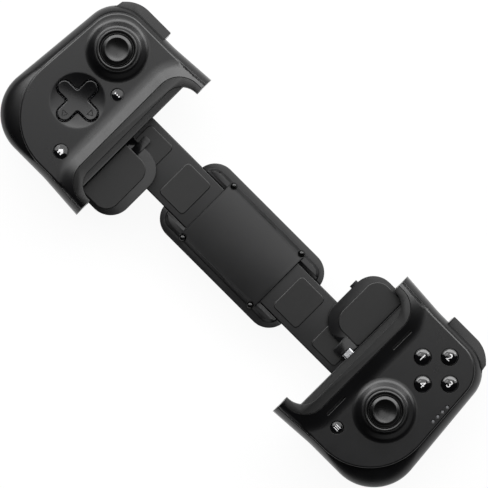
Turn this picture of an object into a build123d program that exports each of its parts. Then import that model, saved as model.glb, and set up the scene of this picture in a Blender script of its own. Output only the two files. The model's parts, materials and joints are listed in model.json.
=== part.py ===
from build123d import *
import math
import os

# Mobile game controller: two grips that telescope on straps from a centre module.
# X runs along the controller, Y up its face, Z out of its face, in millimetres, and the table is at Z = 0.
# X sizes are distances out from the middle: the left side is drawn like the right and then mirrored.
# Y sizes are measured from the centre line of the straps.

# Fits and gaps that many pieces share
RUNNING_FIT = 0.05
SLIDE_GAP = 0.2
TRIM_GAP = 0.1
STACK_GAP = 0.3
BUTTON_GAP = 0.3
OVERRUN = 6.0
WALL = 2.0

# The largest phone that the grips take, at full stretch
PHONE_LENGTH = 161.2
PHONE_WIDTH = 78.6
PHONE_SLOT = 9.2
PHONE_CORNER_R = 8.0
WALL_X = PHONE_LENGTH / 2
POCKET_Y = PHONE_WIDTH / 2

# Heights from the table up: centre module, strap, phone rest, phone slot, bezel and face
CENTER_LIFT = 12.8
CENTER_FLOOR_T = 2.3
STRAP_T = 3.0
STRAP_PAD_T = 0.45
COVER_ROOM = 0.65
COVER_T = 1.0
REST_ROOM = 0.6
REST_T = 2.0
REST_PAD_T = 0.4
LIP_T = 2.1
BEZEL_STEP = 1.0
BEZEL_PROUD = 0.4
RIDGE_RISE = 2.8
FACE_T = 2.0
CHANNEL_Z = CENTER_LIFT + CENTER_FLOOR_T
STRAP_Z = CHANNEL_Z + SLIDE_GAP
STRAP_TOP_Z = STRAP_Z + STRAP_T
COVER_Z = STRAP_TOP_Z + STRAP_PAD_T + COVER_ROOM
COVER_TOP_Z = COVER_Z + COVER_T
REST_Z = COVER_TOP_Z + REST_ROOM
REST_TOP_Z = REST_Z + REST_T
POCKET_Z = REST_TOP_Z + REST_PAD_T
LIP_Z = POCKET_Z + PHONE_SLOT
LIP_TOP_Z = LIP_Z + LIP_T
BEZEL_Z = LIP_TOP_Z + BEZEL_STEP
RIDGE_Z = BEZEL_Z - BEZEL_PROUD
FACE_Z = RIDGE_Z - RIDGE_RISE
SHELL_Z = FACE_Z - FACE_T

# The C-shaped bezel that takes the phone's end
JAW_REACH = 12.0
END_WALL_T = 3.5
JAW_WALL_T = 1.1
BEZEL_CORNER_R = 12.5
LIP_REACH = 4.6
BEZEL_BAND = 4.8
JAW_BAND = 3.2
LIP_CORNER_R = 9.8
TIP_X = WALL_X - JAW_REACH
BEZEL_X = WALL_X + END_WALL_T
BEZEL_Y = POCKET_Y + JAW_WALL_T
LIP_X = WALL_X - LIP_REACH

# The grip's silhouette, seen from the front, at its widest
SIDE_JAW_T = 6.75
WAIST_OUT = 8.4
WAIST_DROP = 1.65
WAIST_BEND_R = 60.0
GRIP_TOP_WIDTH = 47.4
GRIP_SPREAD = 8.5
SIDE_TOP_R = 18.0
SIDE_LOW_R_SHARE = 0.506
WIDE_BAND = 2.0
WAIST_X = BEZEL_X + WAIST_OUT
SIDE_TIP_Y = BEZEL_Y + SIDE_JAW_T
SIDE_Y = SIDE_TIP_Y - WAIST_DROP
SIDE_TOP_X = BEZEL_X + GRIP_TOP_WIDTH
SIDE_LOW_X = SIDE_TOP_X + GRIP_SPREAD
GRIP_MID_X = (BEZEL_X + SIDE_TOP_X) / 2
SIDE_LOW_R = GRIP_TOP_WIDTH * SIDE_LOW_R_SHARE

# The face plate is smaller than the silhouette by the flare of the side wall, which swells on its way down
FLARE = 3.1
FLARE_TIP = 3.35
FLARE_TOP_X = 3.35
FLARE_LOW_X = 6.0
FLARE_FULLNESS = 0.9
FLARE_HEIGHT_SHARES = (1.0, 0.8, 0.5, 0.0)
FACE_TOP_R = 16.0
FACE_LOW_R_SHARE = 0.6857
RIM_LEDGE = 0.5
FACE_CHAMFER = 0.5
FACE_TIP_Y = SIDE_TIP_Y - FLARE_TIP
FACE_Y = SIDE_Y - FLARE
FACE_TOP_X = SIDE_TOP_X - FLARE_TOP_X
FACE_LOW_X = SIDE_LOW_X - FLARE_LOW_X
FACE_LOW_R = GRIP_TOP_WIDTH * FACE_LOW_R_SHARE
RAMP_RUN = 9.5

# The flat pad on the grip's back that stands on the table, and how the back swells out to the sides
PAD_IN = 22.0
PAD_NARROW = 6.0
PAD_TOP_LENGTH = 20.0
PAD_LOW_LENGTH = 23.0
PAD_TOP_Y = 6.4
PAD_LOW_Y = 30.0
PAD_BEND = 0.6
PAD_END_R = 3.0
PAD_TOP_R = 8.0
PAD_LOW_R = 10.0
BACK_END_R = 4.0
BACK_FULLNESS = 2.4
BACK_HEIGHT_SHARES = (1.0, 0.68, 0.44, 0.27, 0.15, 0.06, 0.0)
CAVITY_HEIGHT_SHARES = (1.0, 0.68, 0.44, 0.27, 0.15)
PAD_IN_X = LIP_X + PAD_IN

# The strap, which slides into the centre module, and on which the grip slides
STRAP_WIDTH = 27.2
STRAP_HIDDEN = 20.5
STRAP_IN_GRIP = 24.0
LUG_LENGTH = 3.0
LUG_OUT = 1.4
STRAP_EDGE = 0.4
STRAP_IN_X = STRAP_HIDDEN
STRAP_OUT_X = LIP_X + STRAP_IN_GRIP
STRAP_Y = STRAP_WIDTH / 2
CHANNEL_Y = STRAP_Y + SLIDE_GAP
LUG_Y = STRAP_Y + LUG_OUT
LUG_CHANNEL_Y = LUG_Y + SLIDE_GAP
STRAP_PAD_LENGTH = 16.7
STRAP_PAD_WIDTH = 21.0
STRAP_PAD_R = 2.2
STRAP_PAD_IN = 11.0
STRAP_PAD_PITCH = 26.6

# Centre module
CENTER_LENGTH = 83.0
CENTER_WIDTH = 45.2
CENTER_CORNER_R = 11.0
RIM_RISE = 5.0
PLATFORM_LENGTH = 76.8
PLATFORM_WIDTH = 38.4
PLATFORM_CORNER_R = 6.0
BEVEL = 1.6
OPENING_WIDTH = 30.4
COVER_LENGTH = 51.6
COVER_WIDTH = 35.2
COVER_CORNER_R = 1.0
COVER_EDGE = 0.4
PIN_X = 23.65
PIN_Y = 18.1
PIN_HEAD_R = 1.75
PIN_SHANK_R = 0.9
PIN_HEAD_T = 0.6
PIN_DOME = 1.2
PIN_LENGTH = 4.0
PIN_SEAT_R = 2.3
PIN_SEAT_DROP = 0.8
NOTCH_LENGTH = 12.0
NOTCH_WIDTH = 0.6
NOTCH_DEPTH = 1.0
BASE_EDGE = 1.2
CENTER_X = CENTER_LENGTH / 2
CENTER_Y = CENTER_WIDTH / 2
RIM_Z = CENTER_LIFT + RIM_RISE

# Phone rest: the tongue behind the phone, with a rubber pad and a stop block
REST_REACH = 27.4
REST_NEAR_Y = 0.1
REST_FAR_Y = 38.7
REST_CORNER_R = 11.5
REST_PAD_IN = 4.8
REST_PAD_NEAR_Y = 5.1
REST_PAD_FAR_Y = 36.8
REST_PAD_R = 7.5
BLOCK_X = 68.2
BLOCK_LENGTH = 7.6
BLOCK_Y = 4.7
BLOCK_R = 1.0
TAB_LENGTH = 4.2
TAB_R = 1.0
NUB_REACH = 1.3
NUB_LOW_Y = 23.4
NUB_HIGH_Y = 27.9
REST_X = WALL_X - REST_REACH

# The mouth in the grip's inner wall, which the centre module enters when the controller closes
MOUTH_GAP = 0.6
MOUTH_DROP = 0.4
MOUTH_Y = CENTER_Y + MOUTH_GAP
MOUTH_Z = CENTER_LIFT - MOUTH_DROP

# Rail box for the strap inside the grip
GUIDE_IN = 15.0
GUIDE_WALL = 1.6
GUIDE_FLOOR = 1.9
GUIDE_END_ROOM = 1.5
GUIDE_ROOF = 1.6
GUIDE_LIP = 2.4
GUIDE_RIB_T = 1.6
GUIDE_RIB_PLACE_SHARES = (0.15, 0.8)
GUIDE_X = LIP_X + GUIDE_IN
GUIDE_END_X = SIDE_TOP_X - GUIDE_END_ROOM
GUIDE_Y = LUG_CHANNEL_Y + GUIDE_WALL
GUIDE_Z = CHANNEL_Z - GUIDE_FLOOR

# Circuit board, screws and posts
BOARD_RISE = 1.2
BOARD_T = 1.6
BOARD_INSET = 3.2
BOARD_IN = 3.4
BOARD_HOLE_R = 1.3
POST_R = 3.2
BOSS_R = 2.6
SCREW_R = 1.0
SCREW_HEAD_R = 2.0
SCREW_HEAD_T = 1.6
SCREW_HOLE_R = 1.15
SCREW_SEAT_Z = 7.6
SCREW_LENGTH = 20.0
SEAT_R = 2.3
BOARD_Z = REST_Z + BOARD_RISE
BOARD_TOP_Z = BOARD_Z + BOARD_T

# Where the case screws stand: three that both grips share, and the upper outer one of each side
SCREW_TOP_OUT = 7.4
SCREW_TOP_Y = 34.5
SCREW_LOW_OUT = 6.4
SCREW_LOW_Y = 37.2
SCREW_OUTER_IN = 15.2
SCREW_OUTER_Y = 22.0
LEFT_SCREW_IN = 6.5
LEFT_SCREW_Y = 20.5
SHARED_SCREWS = [
    (BEZEL_X + SCREW_TOP_OUT, SCREW_TOP_Y),
    (BEZEL_X + SCREW_LOW_OUT, -SCREW_LOW_Y),
    (SIDE_LOW_X - SCREW_OUTER_IN, -SCREW_OUTER_Y),
]

# Bumper, its pin and its swing
BUMPER_IN = 15.0
BUMPER_RISE = 3.95
BUMPER_SHOULDER = 10.5
BUMPER_DROP = 6.0
BUMPER_END = 0.9
BUMPER_END_DROP = 4.9
BUMPER_THICK = 7.0
BUMPER_THICK_END = 4.0
BUMPER_R = 16.0
BUMPER_EDGE_R = 0.5
BUMPER_BACK_R = 4.0
BUMPER_DIP = 0.8
BUMPER_HEIGHT = 6.2
BUMPER_PIN_IN = 2.4
BUMPER_PIN_DROP = 4.05
BUMPER_PIN_R = 0.8
BUMPER_EAR_R = 1.7
BUMPER_PIN_SINK = 1.2
BUMPER_PIN_RISE = 0.9
BUMPER_SWING = 2.5
BUMPER_TOP_Y = SIDE_Y + BUMPER_RISE
BUMPER_IN_X = BEZEL_X + BUMPER_IN
BUMPER_PIN_X = BUMPER_IN_X + BUMPER_PIN_IN
BUMPER_PIN_Y = SIDE_Y - BUMPER_PIN_DROP
BUMPER_Z = REST_Z - BUMPER_DIP
BUMPER_TOP_Z = BUMPER_Z + BUMPER_HEIGHT
BUMPER_PIN_Z = BUMPER_Z - BUMPER_PIN_SINK
BUMPER_PIN_TOP_Z = SHELL_Z + BUMPER_PIN_RISE

# Trigger, its pin, its spring and the well that it swings into
TRIGGER_SHOULDER = 7.5
TRIGGER_SIDE_GAP = 0.5
TRIGGER_RECESS = 1.0
TRIGGER_PIN_R = 0.8
TRIGGER_BOSS_R = 2.4
TRIGGER_PIN_DROP = 8.2
TRIGGER_PIN_FALL = 5.6
TRIGGER_PIN_SINK = 1.8
TRIGGER_SWING = 12.0
TRIGGER_SETBACK = 0.2
TRIGGER_ROOM = 0.4
TRIGGER_FACE = 7.0
TRIGGER_TOE_OUT = 4.6
TRIGGER_TOE_RISE = 1.5
TRIGGER_HOOK_OUT = 3.2
TRIGGER_HOOK_RISE = 2.4
TRIGGER_WEB_OUT = 2.0
TRIGGER_WEB_FALL = 4.2
TRIGGER_BACK = 1.2
TRIGGER_BACK_FALL = 2.0
TRIGGER_BROW_R = 1.2
TRIGGER_FACE_R = 6.0
TRIGGER_TOE_R = 0.6
TRIGGER_HOOK_R = 0.8
TRIGGER_WEB_R = 2.0
WELL_Z = 4.6
WELL_ROOF = 2.4
WELL_BACK = 11.6
SPRING_R = 1.9
SPRING_LENGTH = 5.0
SPRING_NOTCH_GAP = 0.4
SPRING_LEG_R = 0.35
SPRING_LEG_LENGTH = 3.0
TRIGGER_IN_X = BUMPER_IN_X + TRIGGER_SETBACK
TRIGGER_WIDTH = SIDE_TOP_X - TRIGGER_SHOULDER - TRIGGER_IN_X
TRIGGER_TOP_Z = REST_Z - WELL_ROOF - TRIGGER_ROOM
TRIGGER_PIN_Y = SIDE_Y - TRIGGER_PIN_DROP
TRIGGER_PIN_Z = REST_Z - TRIGGER_PIN_FALL
WELL_X = TRIGGER_IN_X - TRIGGER_SIDE_GAP
WELL_OUT_X = TRIGGER_IN_X + TRIGGER_WIDTH + TRIGGER_SIDE_GAP
WELL_TOP_Z = REST_Z - WELL_ROOF
WELL_Y = SIDE_Y - WELL_BACK

# Sticks: collar on the cover, cap, shaft, pivot, gimbal and housing
COLLAR_BASE_R = 15.6
COLLAR_TOP_R = 10.8
COLLAR_MOUTH_R = 9.6
COLLAR_HOLE_R = 8.6
COLLAR_RISE = 2.7
COLLAR_FUNNEL = 2.0
STICK_PIVOT_RISE = 2.7
STICK_SWING = 12.0
STICK_PRESS = 0.5
SKIRT_R = 9.2
SKIRT_T = 0.6
SKIRT_ANGLE = 55.0
CAP_R = 9.85
CAP_NECK_R = 4.0
CAP_HUB_R = 3.2
CAP_HUB_LOW = 5.0
CAP_BORE_TOP = 10.0
CAP_NECK_TOP = 11.0
CAP_UNDER = 13.4
CAP_RIM = 14.3
CAP_RIM_W = 0.6
CAP_GROOVE = 13.6
CAP_RING_R = 7.1
CAP_RING_IN_R = 5.9
CAP_RING = 15.4
CAP_DISH = 14.2
SHAFT_R = 1.5
SHAFT_LOW = 1.0
SHAFT_TOP = 9.9
BARREL_R = 2.9
BARREL_HALF = 0.9
RING_HALF = 4.8
RING_IN_HALF = 3.5
RING_HALF_T = 1.1
TRUNNION_R = 0.6
TRUNNION_X = 6.1
TRUNNION_Y = 4.4
HOUSING_HALF = 6.5
HOUSING_WALL = 1.0
HOUSING_FLOOR = 0.4
HOUSING_HEIGHT = 4.6
STICK_Z = BOARD_TOP_Z + STICK_PIVOT_RISE

# Cross pad, the ball that it rocks on, and the dished recess round it
BOWL_R = 13.7
BOWL_DEPTH = 2.2
BOWL_BOSS_R = 15.0
BOWL_BOSS_T = 1.9
CROSS_SPAN = 25.0
CROSS_ARM = 7.0
CROSS_GAP = 0.5
CROSS_PROUD = 1.6
CROSS_DISH = 1.0
CROSS_FLANGE = 1.0
CROSS_FLANGE_T = 0.9
CROSS_FLANGE_DROP = 1.1
CROSS_SWING = 3.0
BALL_R = 1.6
BALL_RISE = 4.2
BALL_SOCKET_TOP = 0.1
BALL_BORE_R = 0.82
BALL_POST_R = 0.7
BALL_POST_OVER = 0.6
BALL_BORE_OVER = 0.8
BALL_Z = BOARD_TOP_Z + BALL_RISE

# Round buttons
FACE_BUTTON_R = 3.95
FACE_BUTTON_PITCH_R = 9.4
FACE_BUTTON_STROKE = 1.2
SMALL_BUTTON_STROKE = 0.8
BUTTON_EDGE_RISE = 0.6
BUTTON_DOME = 1.1
BUTTON_FLANGE = 1.0
BUTTON_FLANGE_T = 0.9
BUTTON_STEM_R = 2.0
DOTS_BUTTON_R = 2.9
HOME_BUTTON_R = 3.4
BARS_BUTTON_R = 2.9
SMALL_BUTTON_DOME = 0.5
MEMBRANE_T = 0.8
MEMBRANE_DOME_R = 2.6
MEMBRANE_DOME_T = 0.8
MEMBRANE_INSET = 0.6
MEMBRANE_REACH = 5.0
CROSS_DOME_OUT = 8.8
CROSS_DOME_T = 1.4

# Where the controls sit, measured from the grip's middle, the bezel, the top edge and the straps' centre line
LEFT_STICK_OUT = 3.7
LEFT_STICK_DROP = 17.7
CROSS_OUT = 0.1
CROSS_DROP = 6.75
DOTS_IN = 12.0
DOTS_RISE = 15.75
HOME_OUT = 11.8
HOME_DROP = 30.3
RIGHT_STICK_IN = 0.7
RIGHT_STICK_DROP = 7.8
FACE_BUTTONS_OUT = 3.4
FACE_BUTTONS_DROP = 18.3
BARS_OUT = 12.4
BARS_DROP = 30.3
LEFT_STICK = (GRIP_MID_X + LEFT_STICK_OUT, FACE_Y - LEFT_STICK_DROP)
CROSS = (GRIP_MID_X + CROSS_OUT, -CROSS_DROP)
DOTS_BUTTON = (CROSS[0] - DOTS_IN, CROSS[1] + DOTS_RISE)
HOME_BUTTON = (BEZEL_X + HOME_OUT, -HOME_DROP)
RIGHT_STICK = (GRIP_MID_X - RIGHT_STICK_IN, -RIGHT_STICK_DROP)
FACE_BUTTONS = (GRIP_MID_X + FACE_BUTTONS_OUT, FACE_Y - FACE_BUTTONS_DROP)
BARS_BUTTON = (BEZEL_X + BARS_OUT, -BARS_DROP)
LEFT_SCREWS = SHARED_SCREWS + [(SIDE_TOP_X - LEFT_SCREW_IN, LEFT_SCREW_Y)]
RIGHT_SCREWS = SHARED_SCREWS + [FACE_BUTTONS]

# Status lights, vents, plug and sockets
LIGHT_R = 0.65
LIGHT_IN = 0.4
LIGHT_Y = 10.35
LIGHT_PITCH = 3.3
LIGHT_COUNT = 4
LIGHT_LENGTH = 3.2
VENT_OUT = 4.5
VENT_WIDTH = 0.9
VENT_LENGTH = 12.5
VENT_Y = 22.9
GAUZE_T = 0.4
GAUZE_EDGE = 0.9
PLUG_WIDTH = 5.4
PLUG_T = 1.5
PLUG_REACH = 7.2
PLUG_ROOT = 6.0
PLUG_Y = -0.6
CARRIER_WIDTH = 11.0
CARRIER_LENGTH = 11.0
CARRIER_TOP_ROOM = 0.3
SOCKET_OUT = 15.1
SOCKET_Z = 15.0
JACK_R = 1.8
JACK_DEPTH = 13.0
JACK_END_T = 1.0
JACK_WAY_R = 3.3
JACK_WIDTH = 7.0
JACK_HEIGHT = 6.6
SOCKET_WALL_ROOM = 3.1
SOCKET_NOSE_SINK = 0.9
CHARGE_WIDTH = 9.0
CHARGE_HEIGHT = 3.4
CHARGE_SHELL = 0.35
CHARGE_DEPTH = 6.6
CHARGE_BLOCK = 7.8
CHARGE_BLOCK_GROW = 0.7
CHARGE_TONGUE_T = 0.7
CHARGE_TONGUE_GAP = 1.0
SOCKET_RECESS_WIDTH = 11.0
SOCKET_RECESS = 0.5
SOCKET_X = BEZEL_X + SOCKET_OUT

# The bounding box is centred on the origin in Y, so everything drops by half the bumpers' extra height
FRAME_Y = (BUMPER_TOP_Y - SIDE_TIP_Y) / 2

COMPASS = [(-1, 0), (0, 1), (1, 0), (0, -1)]
LOW = (Align.CENTER, Align.CENTER, Align.MIN)
CORNER = (Align.MIN, Align.MIN, Align.MIN)


def rounded(points, radii):
    """A flat face with straight sides and rounded corners."""
    return make_face(FilletPolyline(*points, radius=radii, close=True).edges())


def prism(face, low, high):
    """A face drawn in the XY plane, raised from one height to another."""
    return extrude(Pos(0, 0, low) * face, amount=high - low)


def block(x_range, y_range, z_range):
    """A box between two values on each axis."""
    ranges = (x_range, y_range, z_range)
    low = [ends[0] for ends in ranges]
    size = [ends[1] - ends[0] for ends in ranges]
    return Pos(*low) * Box(*size, align=CORNER)


def around(middle, size, grow=0.0):
    """The range of a size about its middle, grown at both ends."""
    half = size / 2 + grow
    return (middle - half, middle + half)


def post(place, radius, low, high):
    """An upright cylinder."""
    return Pos(place[0], place[1], low) * Cylinder(radius, high - low, align=LOW)


def rod_x(y, z, radius, x_from, x_to):
    """A cylinder along X."""
    return Pos(x_from, y, z) * Rot(0, 90, 0) * Cylinder(radius, x_to - x_from, align=LOW)


def rod_y(x, z, radius, y_from, y_to):
    """A cylinder along Y."""
    return Pos(x, y_from, z) * Rot(-90, 0, 0) * Cylinder(radius, y_to - y_from, align=LOW)


def turned(points, place, height):
    """A solid of revolution about an upright axis, from (radius, height) corners."""
    outline = Plane.XZ * make_face(Polyline(*points, close=True).edges())
    return Pos(place[0], place[1], height) * revolve(outline, Axis.Z)


def slot_face(length, width):
    """A flat slot with round ends, long in X."""
    return SlotOverall(length, width)


def side_outline(grow=0.0):
    """The grip's silhouette, with the jaws, grown or shrunk all round but for the jaw tips."""
    points = [
        (TIP_X, SIDE_TIP_Y + grow),
        (WAIST_X, SIDE_Y + grow),
        (SIDE_TOP_X + grow, SIDE_Y + grow),
        (SIDE_LOW_X + grow, -SIDE_Y - grow),
        (WAIST_X, -SIDE_Y - grow),
        (TIP_X, -SIDE_TIP_Y - grow),
    ]
    return rounded(points, [0, WAIST_BEND_R, SIDE_TOP_R + grow, SIDE_LOW_R + grow, WAIST_BEND_R, 0])


def flare_outline(height_share, grow=0.0):
    """The side wall's outline at a share of its height, from its widest band up to the face plate's ledge."""
    ledge = RIM_LEDGE + grow
    low = [(TIP_X, SIDE_TIP_Y + grow), (WAIST_X, SIDE_Y + grow), (SIDE_TOP_X + grow, SIDE_Y + grow)]
    low += [(SIDE_LOW_X + grow, -SIDE_Y - grow), (WAIST_X, -SIDE_Y - grow), (TIP_X, -SIDE_TIP_Y - grow)]
    high = [(TIP_X, FACE_TIP_Y + ledge), (WAIST_X, FACE_Y + ledge), (FACE_TOP_X + ledge, FACE_Y + ledge)]
    high += [(FACE_LOW_X + ledge, -FACE_Y - ledge), (WAIST_X, -FACE_Y - ledge), (TIP_X, -FACE_TIP_Y - ledge)]
    low_radii = [0, WAIST_BEND_R, SIDE_TOP_R + grow, SIDE_LOW_R + grow, WAIST_BEND_R, 0]
    high_radii = [0, WAIST_BEND_R, FACE_TOP_R + ledge, FACE_LOW_R + ledge, WAIST_BEND_R, 0]
    reach = (FLARE_FULLNESS * height_share, FLARE_FULLNESS)
    fall, whole = [1 - math.sqrt(1 - value**2) for value in reach]
    drawn_in = fall / whole
    points = [(a[0] + (b[0] - a[0]) * drawn_in, a[1] + (b[1] - a[1]) * drawn_in) for a, b in zip(low, high)]
    return rounded(points, [a + (b - a) * drawn_in for a, b in zip(low_radii, high_radii)])


def face_outline(grow=0.0):
    """The outline of the face plate, grown or shrunk all round but for the jaw tips."""
    points = [
        (TIP_X, FACE_TIP_Y + grow),
        (WAIST_X, FACE_Y + grow),
        (FACE_TOP_X + grow, FACE_Y + grow),
        (FACE_LOW_X + grow, -FACE_Y - grow),
        (WAIST_X, -FACE_Y - grow),
        (TIP_X, -FACE_TIP_Y - grow),
    ]
    return rounded(points, [0, WAIST_BEND_R, FACE_TOP_R + grow, FACE_LOW_R + grow, WAIST_BEND_R, 0])


def back_outline(height_share, shrink=0.0):
    """The outline of the grip's back at a share of its height, from the flat pad up to the sides."""
    side_at_lip = SIDE_TIP_Y - WAIST_DROP * (LIP_X - TIP_X) / (WAIST_X - TIP_X)
    top = [
        (LIP_X, side_at_lip),
        (WAIST_X, SIDE_Y),
        (SIDE_TOP_X, SIDE_Y),
        (SIDE_LOW_X, -SIDE_Y),
        (WAIST_X, -SIDE_Y),
        (LIP_X, -side_at_lip),
    ]
    foot = [
        (PAD_IN_X, PAD_TOP_Y + PAD_BEND),
        (PAD_IN_X + PAD_NARROW, PAD_TOP_Y),
        (PAD_IN_X + PAD_TOP_LENGTH, PAD_TOP_Y),
        (PAD_IN_X + PAD_LOW_LENGTH, -PAD_LOW_Y),
        (PAD_IN_X + PAD_NARROW, -PAD_LOW_Y),
        (PAD_IN_X, -PAD_LOW_Y - PAD_BEND),
    ]
    inward = [(1, -1), (0, -1), (-1, -1), (-1, 1), (0, 1), (1, 1)]
    top_radii = [BACK_END_R, WAIST_BEND_R, SIDE_TOP_R, SIDE_LOW_R, WAIST_BEND_R, BACK_END_R]
    foot_radii = [PAD_END_R, WAIST_BEND_R, PAD_TOP_R, PAD_LOW_R, WAIST_BEND_R, PAD_END_R]
    depth_share = 1 - height_share
    drawn_in = 1 - (1 - depth_share**BACK_FULLNESS) ** (1 / BACK_FULLNESS)
    points = [
        (t[0] + (f[0] - t[0]) * drawn_in + n[0] * shrink, t[1] + (f[1] - t[1]) * drawn_in + n[1] * shrink)
        for t, f, n in zip(top, foot, inward)
    ]
    radii = [t + (f - t) * drawn_in - shrink * (t != WAIST_BEND_R) for t, f in zip(top_radii, foot_radii)]
    return rounded(points, radii)


def bezel_outline(grow=0.0, inner=TIP_X - OVERRUN):
    """The outer edge of the phone channel, open towards the middle, grown for the ramp or a gap."""
    points = [
        (inner, BEZEL_Y + grow),
        (BEZEL_X + grow, BEZEL_Y + grow),
        (BEZEL_X + grow, -BEZEL_Y - grow),
        (inner, -BEZEL_Y - grow),
    ]
    return rounded(points, [0, BEZEL_CORNER_R + grow, BEZEL_CORNER_R + grow, 0])


def channel_opening(x, y, radius):
    """A D-shaped opening between the jaws, out to x and up to y on both sides."""
    inner = TIP_X - OVERRUN
    return rounded([(inner, y), (x, y), (x, -y), (inner, -y)], [0, radius, radius, 0])


def dome_radius(half_width, rise):
    """The radius of a sphere whose cap has this half width and rise."""
    return (half_width**2 + rise**2) / (2 * rise)


def cap_height(half_width, rise, distance):
    """The height of a spherical cap above its edge, at a distance from its axis."""
    radius = dome_radius(half_width, rise)
    return rise - radius + math.sqrt(radius**2 - distance**2)


def tall_strip(x_from, x_to):
    """A flat strip between two values of X, taller than the grip."""
    half = SIDE_TIP_Y + OVERRUN
    return Pos((x_from + x_to) / 2, 0) * Rectangle(x_to - x_from, 2 * half)


def bumper_outline():
    """The bumper seen from the front: it follows the grip's upper outer corner."""
    brow_x = SIDE_TOP_X - BUMPER_SHOULDER
    end_x = brow_x + BUMPER_DROP
    end_y = BUMPER_TOP_Y - BUMPER_DROP
    tip_x = end_x + BUMPER_END
    tip_y = end_y - BUMPER_END_DROP
    back_y = BUMPER_TOP_Y - BUMPER_THICK
    points = [
        (BUMPER_IN_X, back_y),
        (BUMPER_IN_X, BUMPER_TOP_Y),
        (brow_x, BUMPER_TOP_Y),
        (end_x, end_y),
        (tip_x, tip_y),
        (tip_x - BUMPER_THICK_END, tip_y),
        (tip_x - BUMPER_THICK_END - BUMPER_END_DROP, back_y),
    ]
    radii = [0, BUMPER_EDGE_R, BUMPER_R, BUMPER_EDGE_R, BUMPER_EDGE_R, BUMPER_EDGE_R, BUMPER_BACK_R]
    return rounded(points, radii)


def rear_shell(screws):
    """The grip's back and flared sides, hollow, before the sockets of one side are cut."""
    wide_z = REST_Z + WIDE_BAND
    flare_heights = [(share, wide_z + (SHELL_Z - wide_z) * share) for share in FLARE_HEIGHT_SHARES]
    sides = [Pos(0, 0, height) * flare_outline(share) for share, height in flare_heights]
    sides.append(Pos(0, 0, REST_Z) * side_outline())
    backs = [Pos(0, 0, REST_Z * share) * back_outline(share) for share in BACK_HEIGHT_SHARES]
    outer = loft(sides, ruled=True) + loft(backs, ruled=True)
    hollow_sides = [Pos(0, 0, height) * flare_outline(share, -WALL) for share, height in flare_heights]
    hollow_sides.append(Pos(0, 0, REST_Z) * side_outline(-WALL))
    hollow = loft(hollow_sides, ruled=True)
    hollow &= block(
        (BEZEL_X + WALL, SIDE_LOW_X + OVERRUN),
        (-SIDE_TIP_Y - OVERRUN, SIDE_TIP_Y + OVERRUN),
        (REST_Z, SHELL_Z),
    )
    hollow_backs = [Pos(0, 0, REST_Z * share) * back_outline(share, WALL) for share in CAVITY_HEIGHT_SHARES]
    hollow += loft(hollow_backs, ruled=True)
    for place in screws:
        hollow -= post(place, POST_R, 0, BOARD_Z)
    hollow -= block((WELL_X - WALL, WELL_OUT_X + WALL), (WELL_Y - WALL, SIDE_TIP_Y), (0, REST_Z))
    for share in GUIDE_RIB_PLACE_SHARES:
        rib_x = GUIDE_X + (GUIDE_END_X - GUIDE_X) * share
        hollow -= block((rib_x, rib_x + GUIDE_RIB_T), (-GUIDE_Y, GUIDE_Y), (0, GUIDE_Z))
    shell = outer - hollow
    shell -= prism(bezel_outline(TRIM_GAP), REST_Z, SHELL_Z + OVERRUN)
    shell -= block((LIP_X - OVERRUN, GUIDE_X - WALL), (-MOUTH_Y, MOUTH_Y), (MOUTH_Z, REST_Z))
    shell -= block((WELL_X, WELL_OUT_X), (WELL_Y, SIDE_TIP_Y + OVERRUN), (WELL_Z, WELL_TOP_Z))
    pin_ends = (WELL_X - TRIGGER_PIN_SINK, WELL_OUT_X + TRIGGER_PIN_SINK)
    shell -= rod_x(TRIGGER_PIN_Y, TRIGGER_PIN_Z, TRIGGER_PIN_R, pin_ends[0], pin_ends[1])
    slot = offset(bumper_outline(), STACK_GAP)
    swing = (SIDE_TOP_X - BUMPER_PIN_X) * math.tan(math.radians(BUMPER_SWING))
    slot_range = (BUMPER_Z - STACK_GAP, BUMPER_TOP_Z + STACK_GAP)
    shell -= prism(slot, slot_range[0], slot_range[1])
    shell -= Pos(0, -swing, 0) * prism(slot, slot_range[0], slot_range[1])
    ear = (BUMPER_PIN_X, BUMPER_PIN_Y)
    shell -= post(ear, BUMPER_EAR_R + STACK_GAP, slot_range[0], slot_range[1])
    shell -= post(ear, BUMPER_PIN_R, BUMPER_PIN_Z, BUMPER_PIN_TOP_Z)
    for place in screws:
        shell -= post(place, SCREW_HOLE_R, 0, BOARD_Z)
        shell -= post(place, SEAT_R, 0, SCREW_SEAT_Z)
    return shell


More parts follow.
